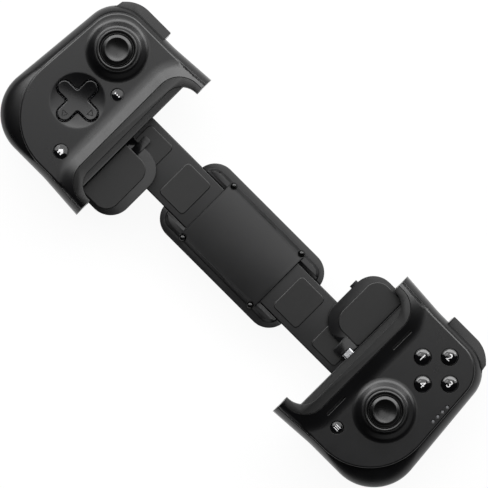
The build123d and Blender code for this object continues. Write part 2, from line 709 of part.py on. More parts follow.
def front_cover(screws, collar_at, holes):
    """The face plate: flat field, ramp up to the bezel, and the collar of the stick."""
    plate = prism(face_outline(), SHELL_Z, FACE_Z)
    top_edges = plate.edges().filter_by_position(Axis.Z, FACE_Z, FACE_Z)
    tip_edges = top_edges.filter_by_position(Axis.X, TIP_X, TIP_X)
    plate = chamfer(top_edges - tip_edges, FACE_CHAMFER)
    ramp_ends = [Pos(0, 0, FACE_Z) * bezel_outline(RAMP_RUN), Pos(0, 0, RIDGE_Z) * bezel_outline()]
    ramp = loft(ramp_ends, ruled=True)
    ramp &= prism(face_outline(-FACE_CHAMFER), FACE_Z, RIDGE_Z)
    collar_profile = [
        (COLLAR_HOLE_R, -FACE_T),
        (COLLAR_HOLE_R, COLLAR_RISE - COLLAR_FUNNEL),
        (COLLAR_MOUTH_R, COLLAR_RISE),
        (COLLAR_TOP_R, COLLAR_RISE),
        (COLLAR_BASE_R, 0),
        (COLLAR_BASE_R, -FACE_T),
    ]
    cover = plate + ramp + turned(collar_profile, collar_at, FACE_Z)
    cover -= post(collar_at, COLLAR_HOLE_R, SHELL_Z, FACE_Z)
    for place in screws:
        cover += post(place, BOSS_R, BOARD_TOP_Z, SHELL_Z)
        cover -= post(place, SCREW_R, BOARD_TOP_Z, SHELL_Z)
    cover -= prism(bezel_outline(TRIM_GAP), SHELL_Z, RIDGE_Z)
    cover -= post((BUMPER_PIN_X, BUMPER_PIN_Y), BUMPER_PIN_R, BUMPER_PIN_Z, BUMPER_PIN_TOP_Z)
    for place, radius in holes:
        cover -= post(place, radius + BUTTON_GAP, SHELL_Z, RIDGE_Z)
    return cover


def rest_outline(sign, grow=0.0):
    """The tongue's outline: it lies above the centre line on one side and below it on the other."""
    points = [
        (BEZEL_X + grow, sign * (REST_NEAR_Y - grow)),
        (REST_X - grow, sign * (REST_NEAR_Y - grow)),
        (REST_X - grow, sign * (REST_FAR_Y + grow)),
        (BEZEL_X + grow, sign * (REST_FAR_Y + grow)),
    ]
    return rounded(points, [0, REST_CORNER_R, REST_CORNER_R, 0])


def phone_channel(sign):
    """The C-shaped bezel: end wall, jaws, front lip and rear lip, notched for the phone rest."""
    outer = bezel_outline() & tall_strip(TIP_X, BEZEL_X)
    inner_x = BEZEL_X - BEZEL_BAND
    inner_y = BEZEL_Y - JAW_BAND
    band_hole = channel_opening(inner_x, inner_y, LIP_CORNER_R)
    lip_hole = band_hole & tall_strip(TIP_X - OVERRUN, LIP_X)
    channel = prism(outer - lip_hole, REST_Z, LIP_TOP_Z)
    channel += prism(outer - band_hole, LIP_TOP_Z, BEZEL_Z)
    channel -= prism(channel_opening(WALL_X, POCKET_Y, PHONE_CORNER_R), POCKET_Z, LIP_Z)
    channel -= prism(rest_outline(sign, TRIM_GAP), REST_Z, POCKET_Z)
    return channel


def phone_rest(sign):
    """The tongue behind the phone, without the stop block that differs from side to side."""
    return prism(rest_outline(sign) & bezel_outline(inner=REST_X - OVERRUN), REST_Z, REST_TOP_Z)


def phone_rest_pad(sign):
    """The raised rubber pad of the tongue."""
    points = [
        (LIP_X, sign * REST_PAD_NEAR_Y),
        (REST_X + REST_PAD_IN, sign * REST_PAD_NEAR_Y),
        (REST_X + REST_PAD_IN, sign * REST_PAD_FAR_Y),
        (LIP_X, sign * REST_PAD_FAR_Y),
    ]
    return prism(rounded(points, [0, REST_PAD_R, REST_PAD_R, 0]), REST_TOP_Z, POCKET_Z)


def strap_guide():
    """The rail box that the strap's lugs run in, with a neck that stops them."""
    roof_z = STRAP_TOP_Z + SLIDE_GAP
    guide = block((GUIDE_X, GUIDE_END_X), (-GUIDE_Y, GUIDE_Y), (GUIDE_Z, roof_z + GUIDE_ROOF))
    neck_x = STRAP_OUT_X - LUG_LENGTH - SLIDE_GAP
    run = (GUIDE_X - OVERRUN, GUIDE_END_X + OVERRUN)
    guide -= block(run, (-CHANNEL_Y, CHANNEL_Y), (CHANNEL_Z, roof_z))
    guide -= block((neck_x, run[1]), (-LUG_CHANNEL_Y, LUG_CHANNEL_Y), (CHANNEL_Z, roof_z))
    opening = STRAP_Y - GUIDE_LIP
    guide -= block(run, (-opening, opening), (roof_z, roof_z + GUIDE_ROOF))
    return guide


def strap():
    """A sliding strap with stop lugs at both ends."""
    bar = block((STRAP_IN_X, STRAP_OUT_X), (-STRAP_Y, STRAP_Y), (STRAP_Z, STRAP_TOP_Z))
    bar = chamfer(bar.edges().filter_by(Axis.X), STRAP_EDGE)
    bar += block((STRAP_IN_X, STRAP_IN_X + LUG_LENGTH), (-LUG_Y, LUG_Y), (STRAP_Z, STRAP_TOP_Z))
    bar += block((STRAP_OUT_X - LUG_LENGTH, STRAP_OUT_X), (-LUG_Y, LUG_Y), (STRAP_Z, STRAP_TOP_Z))
    return bar


def strap_pads():
    """The two rubber pads on a strap."""
    face = RectangleRounded(STRAP_PAD_LENGTH, STRAP_PAD_WIDTH, STRAP_PAD_R)
    first = STRAP_IN_X + STRAP_PAD_IN + STRAP_PAD_LENGTH / 2
    pad = Pos(first, 0, 0) * prism(face, STRAP_TOP_Z, STRAP_TOP_Z + STRAP_PAD_T)
    return Compound([pad, Pos(STRAP_PAD_PITCH, 0, 0) * pad])


def circuit_board(screws, stand_off):
    """The grip's circuit board, with screw holes, and the cross pad's post where there is one."""
    board_x = BEZEL_X + BOARD_IN
    outline = face_outline(-BOARD_INSET) & tall_strip(board_x, SIDE_LOW_X)
    board = prism(outline, BOARD_Z, BOARD_TOP_Z)
    for place in screws:
        board -= post(place, BOARD_HOLE_R, BOARD_Z, BOARD_TOP_Z)
    if stand_off:
        board += post(stand_off, BALL_POST_R, BOARD_TOP_Z, BALL_Z + BALL_POST_OVER)
    return board


def case_screws(places):
    """Four screws from the back into the bosses of the cover."""
    screws = []
    for place in places:
        head = post(place, SCREW_HEAD_R, SCREW_SEAT_Z - SCREW_HEAD_T, SCREW_SEAT_Z)
        screws.append(head + post(place, SCREW_R, SCREW_SEAT_Z, SCREW_SEAT_Z + SCREW_LENGTH))
    return Compound(screws)


def button_membrane(domes, screws, keep_clear):
    """The rubber sheet over the board: domes are (place, height), and cut-outs are (place, radius)."""
    top_z = BOARD_TOP_Z + MEMBRANE_T
    sheet = Sketch()
    for place, height in domes:
        sheet += Pos(place[0], place[1]) * Circle(MEMBRANE_REACH)
    membrane = prism(make_hull(sheet.edges()), BOARD_TOP_Z, top_z)
    crown_r = MEMBRANE_DOME_R - MEMBRANE_INSET
    for place, height in domes:
        membrane += Pos(place[0], place[1], top_z) * Cone(MEMBRANE_DOME_R, crown_r, height, align=LOW)
    for place, radius in keep_clear + [(place, BOSS_R + STACK_GAP) for place in screws]:
        membrane -= post(place, radius, BOARD_TOP_Z, top_z)
    return membrane


def bumper():
    """The glossy bumper with the ear that turns on its pin."""
    body = prism(bumper_outline(), BUMPER_Z, BUMPER_TOP_Z)
    ear = (BUMPER_PIN_X, BUMPER_PIN_Y)
    body += post(ear, BUMPER_EAR_R, BUMPER_Z, BUMPER_TOP_Z)
    return body - post(ear, BUMPER_PIN_R + RUNNING_FIT, BUMPER_Z, BUMPER_TOP_Z)


def bumper_pin():
    """The bumper's steel pin, from the well's roof up into the cover."""
    return post((BUMPER_PIN_X, BUMPER_PIN_Y), BUMPER_PIN_R, BUMPER_PIN_Z, BUMPER_PIN_TOP_Z)


def trigger():
    """The hooked trigger lever with its hinge boss and the notch for its spring."""
    pin_y, pin_z = TRIGGER_PIN_Y, TRIGGER_PIN_Z
    top_y = BUMPER_TOP_Y - TRIGGER_RECESS
    corners = [
        (pin_y - TRIGGER_BACK, TRIGGER_TOP_Z, TRIGGER_TOE_R),
        (top_y, TRIGGER_TOP_Z, TRIGGER_BROW_R),
        (top_y, TRIGGER_TOP_Z - TRIGGER_FACE, TRIGGER_FACE_R),
        (pin_y + TRIGGER_TOE_OUT, WELL_Z + TRIGGER_TOE_RISE, TRIGGER_TOE_R),
        (pin_y + TRIGGER_HOOK_OUT, WELL_Z + TRIGGER_HOOK_RISE, TRIGGER_HOOK_R),
        (pin_y + TRIGGER_WEB_OUT, pin_z - TRIGGER_WEB_FALL, TRIGGER_WEB_R),
        (pin_y - TRIGGER_BACK, pin_z - TRIGGER_BACK_FALL, TRIGGER_TOE_R),
    ]
    side = Plane.YZ * rounded([corner[:2] for corner in corners], [corner[2] for corner in corners])
    lever = Pos(TRIGGER_IN_X, 0, 0) * extrude(side, amount=TRIGGER_WIDTH)
    lever += rod_x(pin_y, pin_z, TRIGGER_BOSS_R, TRIGGER_IN_X, TRIGGER_IN_X + TRIGGER_WIDTH)
    brow_x = SIDE_TOP_X - BUMPER_SHOULDER
    end_x = brow_x + BUMPER_DROP
    plan = [
        (TRIGGER_IN_X, WELL_Y),
        (TRIGGER_IN_X, top_y),
        (brow_x, top_y),
        (end_x, top_y - BUMPER_DROP),
        (end_x, WELL_Y),
    ]
    lever &= prism(rounded(plan, [0, BUMPER_EDGE_R, BUMPER_R, BUMPER_EDGE_R, 0]), 0, REST_Z)
    lever -= rod_x(pin_y, pin_z, TRIGGER_PIN_R + RUNNING_FIT, TRIGGER_IN_X, TRIGGER_IN_X + TRIGGER_WIDTH)
    notch_x = spring_x()
    gap = SPRING_NOTCH_GAP
    notch_half = SPRING_R + gap
    lever -= block(
        (notch_x - gap, notch_x + SPRING_LENGTH + gap),
        (WELL_Y, pin_y + notch_half),
        (pin_z - notch_half, REST_Z),
    )
    return lever


def spring_x():
    """Where the trigger's spring starts along its pin."""
    return TRIGGER_IN_X + (TRIGGER_WIDTH - SPRING_LENGTH) / 2


def trigger_pin():
    """The trigger's steel pin, held in both walls of the well."""
    ends = (WELL_X - TRIGGER_PIN_SINK, WELL_OUT_X + TRIGGER_PIN_SINK)
    return rod_x(TRIGGER_PIN_Y, TRIGGER_PIN_Z, TRIGGER_PIN_R, ends[0], ends[1])


def trigger_spring():
    """The trigger's torsion spring, drawn as the sleeve of its turns and one leg."""
    start = spring_x()
    sleeve = rod_x(TRIGGER_PIN_Y, TRIGGER_PIN_Z, SPRING_R, start, start + SPRING_LENGTH)
    wire = 2 * SPRING_LEG_R
    leg_z = TRIGGER_PIN_Z + SPRING_R - wire
    sleeve += rod_y(start + wire, leg_z, SPRING_LEG_R, TRIGGER_PIN_Y - SPRING_LEG_LENGTH, TRIGGER_PIN_Y)
    bore_r = TRIGGER_PIN_R + RUNNING_FIT
    return sleeve - rod_x(TRIGGER_PIN_Y, TRIGGER_PIN_Z, bore_r, start, start + SPRING_LENGTH)


def stick_housing(at):
    """The open box that carries the gimbal, soldered to the board."""
    low = BOARD_TOP_Z
    box = Pos(at[0], at[1], low) * Box(2 * HOUSING_HALF, 2 * HOUSING_HALF, HOUSING_HEIGHT, align=LOW)
    inner = HOUSING_HALF - HOUSING_WALL
    box -= Pos(at[0], at[1], low + HOUSING_FLOOR) * Box(2 * inner, 2 * inner, HOUSING_HEIGHT, align=LOW)
    return box - rod_x(at[1], STICK_Z, TRUNNION_R + RUNNING_FIT, at[0] - HOUSING_HALF, at[0] + HOUSING_HALF)


def stick_gimbal(at):
    """The square ring that tilts about X in the housing."""
    ring = Pos(at[0], at[1], STICK_Z) * Box(2 * RING_HALF, 2 * RING_HALF, 2 * RING_HALF_T)
    ring += rod_x(at[1], STICK_Z, TRUNNION_R, at[0] - TRUNNION_X, at[0] + TRUNNION_X)
    ring -= Pos(at[0], at[1], STICK_Z) * Box(2 * RING_IN_HALF, 2 * RING_IN_HALF, 2 * RING_HALF)
    return ring - rod_y(at[0], STICK_Z, TRUNNION_R + RUNNING_FIT, at[1] - RING_HALF, at[1] + RING_HALF)


def stick_pivot(at):
    """The barrel that tilts about Y in the gimbal, bored for the shaft."""
    barrel = post(at, BARREL_R, STICK_Z - BARREL_HALF, STICK_Z + BARREL_HALF)
    barrel += rod_y(at[0], STICK_Z, TRUNNION_R, at[1] - TRUNNION_Y, at[1] + TRUNNION_Y)
    return barrel - post(at, SHAFT_R + RUNNING_FIT, STICK_Z - BARREL_HALF, STICK_Z + BARREL_HALF)


def stick_shaft(at):
    """The shaft that slides in the pivot when the stick is pressed."""
    return post(at, SHAFT_R, STICK_Z - SHAFT_LOW, STICK_Z + SHAFT_TOP)


def sphere_point(radius, from_axis):
    """The corner (r, height) of a sphere about the pivot, at a distance from the axis."""
    return (from_axis, math.sqrt(radius**2 - from_axis**2))


def stick_cap(at):
    """The rubber cap: dust skirt, neck, wide rim, raised ring and dished top."""
    angle = math.radians(SKIRT_ANGLE)
    skirt_in = SKIRT_R - SKIRT_T
    hub_meet = sphere_point(skirt_in, CAP_HUB_R)
    neck_meet = sphere_point(SKIRT_R, CAP_NECK_R)
    inner_end = (skirt_in * math.sin(angle), skirt_in * math.cos(angle))
    outer_end = (SKIRT_R * math.sin(angle), SKIRT_R * math.cos(angle))
    mid_in = sphere_point(skirt_in, (hub_meet[0] + inner_end[0]) / 2)
    mid_out = sphere_point(SKIRT_R, (neck_meet[0] + outer_end[0]) / 2)
    bore = SHAFT_R + RUNNING_FIT
    rim_in = CAP_R - CAP_RIM_W
    dish = CAP_RING - CAP_DISH
    dish_mid = (CAP_RING_IN_R / 2, CAP_RING - cap_height(CAP_RING_IN_R, dish, CAP_RING_IN_R / 2))
    lines = [
        Polyline((0, CAP_DISH), (0, CAP_BORE_TOP), (bore, CAP_BORE_TOP), (bore, CAP_HUB_LOW)),
        Polyline((bore, CAP_HUB_LOW), (CAP_HUB_R, CAP_HUB_LOW), hub_meet),
        ThreePointArc(hub_meet, mid_in, inner_end),
        Line(inner_end, outer_end),
        ThreePointArc(outer_end, mid_out, neck_meet),
        Polyline(neck_meet, (CAP_NECK_R, CAP_NECK_TOP), (CAP_R, CAP_UNDER), (CAP_R, CAP_RIM)),
        Polyline((CAP_R, CAP_RIM), (rim_in, CAP_RIM), (rim_in, CAP_GROOVE), (CAP_RING_R, CAP_GROOVE)),
        Polyline((CAP_RING_R, CAP_GROOVE), (CAP_RING_R, CAP_RING), (CAP_RING_IN_R, CAP_RING)),
        ThreePointArc((CAP_RING_IN_R, CAP_RING), dish_mid, (0, CAP_DISH)),
    ]
    edges = [edge for line in lines for edge in line.edges()]
    outline = Plane.XZ * make_face(edges)
    return Pos(at[0], at[1], STICK_Z) * revolve(outline, Axis.Z)


def round_button(at, radius, dome, stroke):
    """A round push button: domed top, retaining flange and stem down to its membrane dome."""
    flange_top = -FACE_T - STACK_GAP
    stem_low = BOARD_TOP_Z + MEMBRANE_T + MEMBRANE_DOME_T + stroke + BUTTON_GAP - FACE_Z
    dome_mid = (radius / 2, BUTTON_EDGE_RISE + cap_height(radius, dome, radius / 2))
    lines = [
        Polyline(
            (0, BUTTON_EDGE_RISE + dome),
            (0, stem_low),
            (BUTTON_STEM_R, stem_low),
            (BUTTON_STEM_R, flange_top - BUTTON_FLANGE_T),
            (radius + BUTTON_FLANGE, flange_top - BUTTON_FLANGE_T),
            (radius + BUTTON_FLANGE, flange_top),
            (radius, flange_top),
            (radius, BUTTON_EDGE_RISE),
        ),
        ThreePointArc((radius, BUTTON_EDGE_RISE), dome_mid, (0, BUTTON_EDGE_RISE + dome)),
    ]
    edges = [edge for line in lines for edge in line.edges()]
    outline = Plane.XZ * make_face(edges)
    return Pos(at[0], at[1], FACE_Z) * revolve(outline, Axis.Z)


def cross_face(grow):
    """A plus with round ends."""
    arm = slot_face(CROSS_SPAN + 2 * grow, CROSS_ARM + 2 * grow)
    return arm + Rot(0, 0, 90) * arm


def cross_pad():
    """The cross pad: dished top, flange below the cover, socket for the ball that it rocks on."""
    top_z = FACE_Z + CROSS_PROUD
    flange_z = SHELL_Z - BOWL_BOSS_T - CROSS_FLANGE_DROP
    low_z = flange_z - CROSS_FLANGE_T
    pad = prism(cross_face(0), flange_z, top_z) + prism(cross_face(CROSS_FLANGE), low_z, flange_z)
    dish_r = dome_radius(CROSS_SPAN / 2, CROSS_DISH)
    pad -= Pos(0, 0, top_z - CROSS_DISH + dish_r) * Sphere(dish_r)
    pad -= post((0, 0), BALL_R + RUNNING_FIT, low_z, BALL_Z + BALL_R + BALL_SOCKET_TOP)
    return Pos(CROSS[0], CROSS[1], 0) * pad


def cross_pivot():
    """The ball on the board's post."""
    ball = Pos(0, 0, BALL_Z) * Sphere(BALL_R)
    ball -= post((0, 0), BALL_BORE_R, BALL_Z - BALL_R, BALL_Z + BALL_BORE_OVER)
    return Pos(CROSS[0], CROSS[1], 0) * ball


def left_cover():
    """The left face plate, with the cross pad's dished recess."""
    holes = [(DOTS_BUTTON, DOTS_BUTTON_R), (HOME_BUTTON, HOME_BUTTON_R)]
    cover = front_cover(LEFT_SCREWS, LEFT_STICK, holes)
    cover += post(CROSS, BOWL_BOSS_R, SHELL_Z - BOWL_BOSS_T, SHELL_Z)
    bowl_r = dome_radius(BOWL_R, BOWL_DEPTH)
    cover -= Pos(CROSS[0], CROSS[1], FACE_Z - BOWL_DEPTH + bowl_r) * Sphere(bowl_r)
    cross_hole = prism(cross_face(CROSS_GAP), SHELL_Z - BOWL_BOSS_T, FACE_Z)
    return cover - Pos(CROSS[0], CROSS[1], 0) * cross_hole


def face_button_places():
    """The four face buttons: left, top, right and bottom."""
    out = FACE_BUTTON_PITCH_R
    return [(FACE_BUTTONS[0] + out * dx, FACE_BUTTONS[1] + out * dy) for dx, dy in COMPASS]


def light_places():
    """The four status lights, in a column along the outer edge."""
    top = LIGHT_Y + LIGHT_PITCH * (LIGHT_COUNT - 1) / 2
    return [(FACE_TOP_X - LIGHT_IN, top - i * LIGHT_PITCH) for i in range(LIGHT_COUNT)]


def vent_ranges():
    """The two slits beside the ramp, as ranges of Y."""
    return [around(VENT_Y, VENT_LENGTH), around(-VENT_Y, VENT_LENGTH)]


def right_cover():
    """The right face plate, with the status lights and the vent slits."""
    holes = [(place, FACE_BUTTON_R) for place in face_button_places()]
    holes.append((BARS_BUTTON, BARS_BUTTON_R))
    cover = front_cover(RIGHT_SCREWS, RIGHT_STICK, holes)
    for place in light_places():
        cover -= post(place, LIGHT_R + RUNNING_FIT, SHELL_Z, FACE_Z)
    vent_x = BEZEL_X + VENT_OUT
    for low, high in vent_ranges():
        cover -= block(around(vent_x, VENT_WIDTH), (low, high), (SHELL_Z, RIDGE_Z))
    return cover


def vent_gauze():
    """The two strips of gauze stuck under the vent slits."""
    half = VENT_WIDTH / 2 + GAUZE_EDGE
    vent_x = BEZEL_X + VENT_OUT
    thickness = (SHELL_Z - GAUZE_T, SHELL_Z)
    strips = []
    for low, high in vent_ranges():
        strips.append(block((vent_x - half, vent_x + half), (low - GAUZE_EDGE, high + GAUZE_EDGE), thickness))
    return Compound(strips)


def light_pipes():
    """The four clear pipes of the status lights."""
    return Compound([post(place, LIGHT_R, FACE_Z - LIGHT_LENGTH, FACE_Z) for place in light_places()])


def plug_carrier():
    """The block behind the end wall that carries the plug."""
    height = (BOARD_TOP_Z, SHELL_Z - CARRIER_TOP_ROOM)
    carrier = block((WALL_X, WALL_X + CARRIER_LENGTH), around(PLUG_Y, CARRIER_WIDTH), height)
    return carrier - plug_tongue()


def plug_carrier_room():
    """The opening in the shell and the channel that the plug carrier fills."""
    way = (WALL_X - OVERRUN, WALL_X + CARRIER_LENGTH + TRIM_GAP)
    height = (BOARD_TOP_Z - TRIM_GAP, SHELL_Z - CARRIER_TOP_ROOM + TRIM_GAP)
    return block(way, around(PLUG_Y, CARRIER_WIDTH, TRIM_GAP), height)


def plug_tongue():
    """The metal tongue, centred on the phone's thickness."""
    plug_z = POCKET_Z + PHONE_SLOT / 2
    tip_x = WALL_X - PLUG_REACH
    length = PLUG_REACH + PLUG_ROOT
    section = Plane.YZ * slot_face(PLUG_WIDTH, PLUG_T)
    return Pos(tip_x, PLUG_Y, plug_z) * extrude(section, amount=length)


def socket_face_y():
    """How far down the sockets' blocks reach: just inside the bottom wall."""
    return -SIDE_Y + SOCKET_WALL_ROOM


def headphone_socket():
    """The headphone socket, set back behind the round way in through the bottom wall."""
    face_y = socket_face_y()
    back_y = face_y + JACK_DEPTH + JACK_END_T
    body = block(around(SOCKET_X, JACK_WIDTH), (face_y, back_y), around(SOCKET_Z, JACK_HEIGHT))
    return body - rod_y(SOCKET_X, SOCKET_Z, JACK_R, face_y, face_y + JACK_DEPTH)


def charge_slot(grow, y_from, y_to):
    """A rounded slot along Y at the charging socket."""
    section = Plane.XZ * slot_face(CHARGE_WIDTH + 2 * grow, CHARGE_HEIGHT + 2 * grow)
    return Pos(SOCKET_X, y_to, SOCKET_Z) * extrude(section, amount=y_to - y_from)


def charge_socket():
    """The charging socket: a metal mouth, a contact tongue and the block behind them."""
    face_y = socket_face_y()
    nose_y = -SIDE_Y + SOCKET_NOSE_SINK
    back_y = nose_y + CHARGE_DEPTH
    across = around(SOCKET_X, CHARGE_WIDTH, CHARGE_BLOCK_GROW)
    body = block(across, (face_y, face_y + CHARGE_BLOCK), around(SOCKET_Z, CHARGE_HEIGHT, CHARGE_BLOCK_GROW))
    body += charge_slot(0, nose_y, face_y)
    body -= charge_slot(-CHARGE_SHELL, nose_y, back_y)
    across = around(SOCKET_X, CHARGE_WIDTH, -CHARGE_TONGUE_GAP)
    return body + block(across, (nose_y + CHARGE_TONGUE_GAP, back_y), around(SOCKET_Z, CHARGE_TONGUE_T))


def center_base():
    """The tray: floor, side rails, bevelled platform, and the channels that the straps run in."""
    outline = RectangleRounded(CENTER_LENGTH, CENTER_WIDTH, CENTER_CORNER_R)
    tray = prism(outline, CENTER_LIFT, RIM_Z)
    tray = chamfer(tray.edges().filter_by_position(Axis.Z, CENTER_LIFT, CENTER_LIFT), BASE_EDGE)
    foot = RectangleRounded(PLATFORM_LENGTH, PLATFORM_WIDTH, PLATFORM_CORNER_R)
    both = 2 * BEVEL
    crown = RectangleRounded(PLATFORM_LENGTH - both, PLATFORM_WIDTH - both, PLATFORM_CORNER_R - BEVEL)
    tray += loft([Pos(0, 0, RIM_Z) * foot, Pos(0, 0, COVER_Z) * crown], ruled=True)
    run = (-CENTER_X - OVERRUN, CENTER_X + OVERRUN)
    roof_z = STRAP_TOP_Z + SLIDE_GAP
    lug_end = STRAP_IN_X + LUG_LENGTH
    half_open = OPENING_WIDTH / 2
    tray -= block(run, (-CHANNEL_Y, CHANNEL_Y), (CHANNEL_Z, COVER_Z))
    tray -= block((-lug_end, lug_end), (-LUG_CHANNEL_Y, LUG_CHANNEL_Y), (CHANNEL_Z, roof_z))
    tray -= block(run, (-half_open, half_open), (roof_z, COVER_Z))
    for side_x in (-1, 1):
        for side_y in (-1, 1):
            place = (side_x * PIN_X, side_y * PIN_Y)
            tray -= post(place, PIN_SEAT_R, COVER_Z - PIN_SEAT_DROP, COVER_Z)
            tray -= post(place, PIN_SHANK_R, COVER_Z - PIN_SEAT_DROP - PIN_LENGTH, COVER_Z)
    notch_y = PLATFORM_WIDTH / 2 - BEVEL
    for side_y in (-1, 1):
        notch = Box(NOTCH_LENGTH, NOTCH_WIDTH, NOTCH_DEPTH, align=(Align.CENTER, Align.CENTER, Align.MAX))
        tray -= Pos(0, side_y * notch_y, COVER_Z) * notch
    return tray


def center_cover():
    """The lid over the straps' inner ends, cut away round the pins."""
    lid = prism(RectangleRounded(COVER_LENGTH, COVER_WIDTH, COVER_CORNER_R), COVER_Z, COVER_TOP_Z)
    lid = chamfer(lid.edges().filter_by_position(Axis.Z, COVER_TOP_Z, COVER_TOP_Z), COVER_EDGE)
    for side_x in (-1, 1):
        for side_y in (-1, 1):
            lid -= post((side_x * PIN_X, side_y * PIN_Y), PIN_SEAT_R, COVER_Z, COVER_TOP_Z)
    return lid


def center_pins():
    """Four dome-headed pins."""
    seat_z = COVER_Z - PIN_SEAT_DROP
    head_top = seat_z + PIN_HEAD_T
    dome_r = dome_radius(PIN_HEAD_R, PIN_DOME)
    pins = []
    for side_x in (-1, 1):
        for side_y in (-1, 1):
            place = (side_x * PIN_X, side_y * PIN_Y)
            dome = Pos(place[0], place[1], head_top + PIN_DOME - dome_r) * Sphere(dome_r)
            head = post(place, PIN_HEAD_R, seat_z, head_top + PIN_DOME) & dome
            pins.append(head + post(place, PIN_SHANK_R, seat_z - PIN_LENGTH, seat_z))
    return Compound(pins)


def left_rest():
    """The left tongue with its raised tab."""
    rest = phone_rest(-1)
    tab = rounded(
        [
            (BLOCK_X, -REST_PAD_NEAR_Y),
            (BLOCK_X, BLOCK_Y),
            (BLOCK_X + TAB_LENGTH, BLOCK_Y),
            (BLOCK_X + TAB_LENGTH, -REST_PAD_NEAR_Y),
        ],
        [0, TAB_R, TAB_R, 0],
    )
    return rest + prism(tab, REST_Z, POCKET_Z)


def right_rest():
    """The right tongue with the stop block below the plug and the small nub on its end."""
    rest = phone_rest(1)
    stop = rounded(
        [
            (BLOCK_X, BLOCK_Y),
            (BLOCK_X, -BLOCK_Y),
            (BLOCK_X + BLOCK_LENGTH, -BLOCK_Y),
            (BLOCK_X + BLOCK_LENGTH, BLOCK_Y),
        ],
        [BLOCK_R, BLOCK_R, 0, 0],
    )
    rest += prism(stop, REST_Z, POCKET_Z)
    return rest + block(around(REST_X, 2 * NUB_REACH), (NUB_LOW_Y, NUB_HIGH_Y), (REST_Z, REST_TOP_Z))


def grip_nodes(sign, screws, cover, shell, channel, rest, membrane, stick_at, stand_off):
    """The nodes that both grips have, drawn on the right-hand side."""
    return {
        "front_cover": cover,
        "rear_shell": shell,
        "phone_channel": channel,
        "phone_rest": rest,
        "phone_rest_pad": phone_rest_pad(sign),
        "strap": strap(),
        "strap_pads": strap_pads(),
        "strap_guide": strap_guide(),
        "circuit_board": circuit_board(screws, stand_off),
        "button_membrane": membrane,
        "case_screws": case_screws(screws),
        "bumper": bumper(),
        "bumper_pin": bumper_pin(),
        "trigger": trigger(),
        "trigger_pin": trigger_pin(),
        "trigger_spring": trigger_spring(),
        "stick_housing": stick_housing(stick_at),
        "stick_gimbal": stick_gimbal(stick_at),
        "stick_pivot": stick_pivot(stick_at),
        "stick_shaft": stick_shaft(stick_at),
        "stick_cap": stick_cap(stick_at),
    }


def left_nodes():
    """Everything on the left side, drawn on the right and named for the left."""
    shell = rear_shell(LEFT_SCREWS)
    shell -= rod_y(SOCKET_X, SOCKET_Z, JACK_WAY_R, -SIDE_TIP_Y, socket_face_y())
    domes = [(DOTS_BUTTON, MEMBRANE_DOME_T), (HOME_BUTTON, MEMBRANE_DOME_T)]
    for dx, dy in COMPASS:
        domes.append(((CROSS[0] + CROSS_DOME_OUT * dx, CROSS[1] + CROSS_DOME_OUT * dy), CROSS_DOME_T))
    membrane = button_membrane(domes, LEFT_SCREWS, [(CROSS, BALL_R + STACK_GAP)])
    parts = (left_cover(), shell, phone_channel(-1), left_rest(), membrane)
    nodes = grip_nodes(-1, LEFT_SCREWS, *parts, LEFT_STICK, CROSS)
    nodes["cross_pad"] = cross_pad()
    nodes["cross_pad_pivot"] = cross_pivot()
    nodes["dots_button"] = round_button(DOTS_BUTTON, DOTS_BUTTON_R, SMALL_BUTTON_DOME, SMALL_BUTTON_STROKE)
    nodes["home_button"] = round_button(HOME_BUTTON, HOME_BUTTON_R, SMALL_BUTTON_DOME, SMALL_BUTTON_STROKE)
    nodes["headphone_socket"] = headphone_socket()
    return nodes


def right_nodes():
    """Everything on the right side."""
    shell = rear_shell(RIGHT_SCREWS)
    shell -= charge_slot(TRIM_GAP, -SIDE_TIP_Y, socket_face_y())
    recess_y = (-SIDE_TIP_Y, -SIDE_Y + SOCKET_RECESS)
    shell -= block(around(SOCKET_X, SOCKET_RECESS_WIDTH), recess_y, (WELL_Z, REST_Z + WIDE_BAND))
    room = plug_carrier_room()
    shell -= room
    channel = phone_channel(1) - room
    places = face_button_places()
    domes = [(place, MEMBRANE_DOME_T) for place in places + [BARS_BUTTON]]
    membrane = button_membrane(domes, RIGHT_SCREWS, [(RIGHT_STICK, HOUSING_HALF * math.sqrt(2) + STACK_GAP)])
    parts = (right_cover(), shell, channel, right_rest(), membrane)
    nodes = grip_nodes(1, RIGHT_SCREWS, *parts, RIGHT_STICK, None)
    for number, place in enumerate(places, start=1):
        nodes[f"face_button_{number}"] = round_button(place, FACE_BUTTON_R, BUTTON_DOME, FACE_BUTTON_STROKE)
    nodes["bars_button"] = round_button(BARS_BUTTON, BARS_BUTTON_R, SMALL_BUTTON_DOME, SMALL_BUTTON_STROKE)
    nodes["phone_plug"] = plug_tongue()
    nodes["plug_carrier"] = plug_carrier()
    nodes["charge_socket"] = charge_socket()
    nodes["light_pipes"] = light_pipes()
    nodes["vent_gauze"] = vent_gauze()
    return nodes


pieces = {"center_base": center_base(), "center_cover": center_cover(), "center_pins": center_pins()}
for node, solid in left_nodes().items():
    pieces[f"left_{node}"] = mirror(solid, about=Plane.YZ)
for node, solid in right_nodes().items():
    pieces[f"right_{node}"] = solid

os.makedirs("parts", exist_ok=True)
for node, solid in pieces.items():
    export_step(Pos(0, -FRAME_Y, 0) * solid, f"parts/{node}.step")
print(len(pieces), "nodes")
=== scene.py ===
# %% [markdown]
# # A game controller that holds a phone, dressed in Blender
# The CAD model comes in as a fixed frame: every body, joint and size is already there, in metres. This lesson
# gives each piece the soft edges, curves and finishes that the real one has. Nothing is moved. Where a CAD
# solid is too plain, a finer piece takes its place and rides on the same body.

# %% Load the frame
import json
import math

import bmesh
import bpy
import numpy as np
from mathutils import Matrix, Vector
from mathutils.geometry import delaunay_2d_cdt

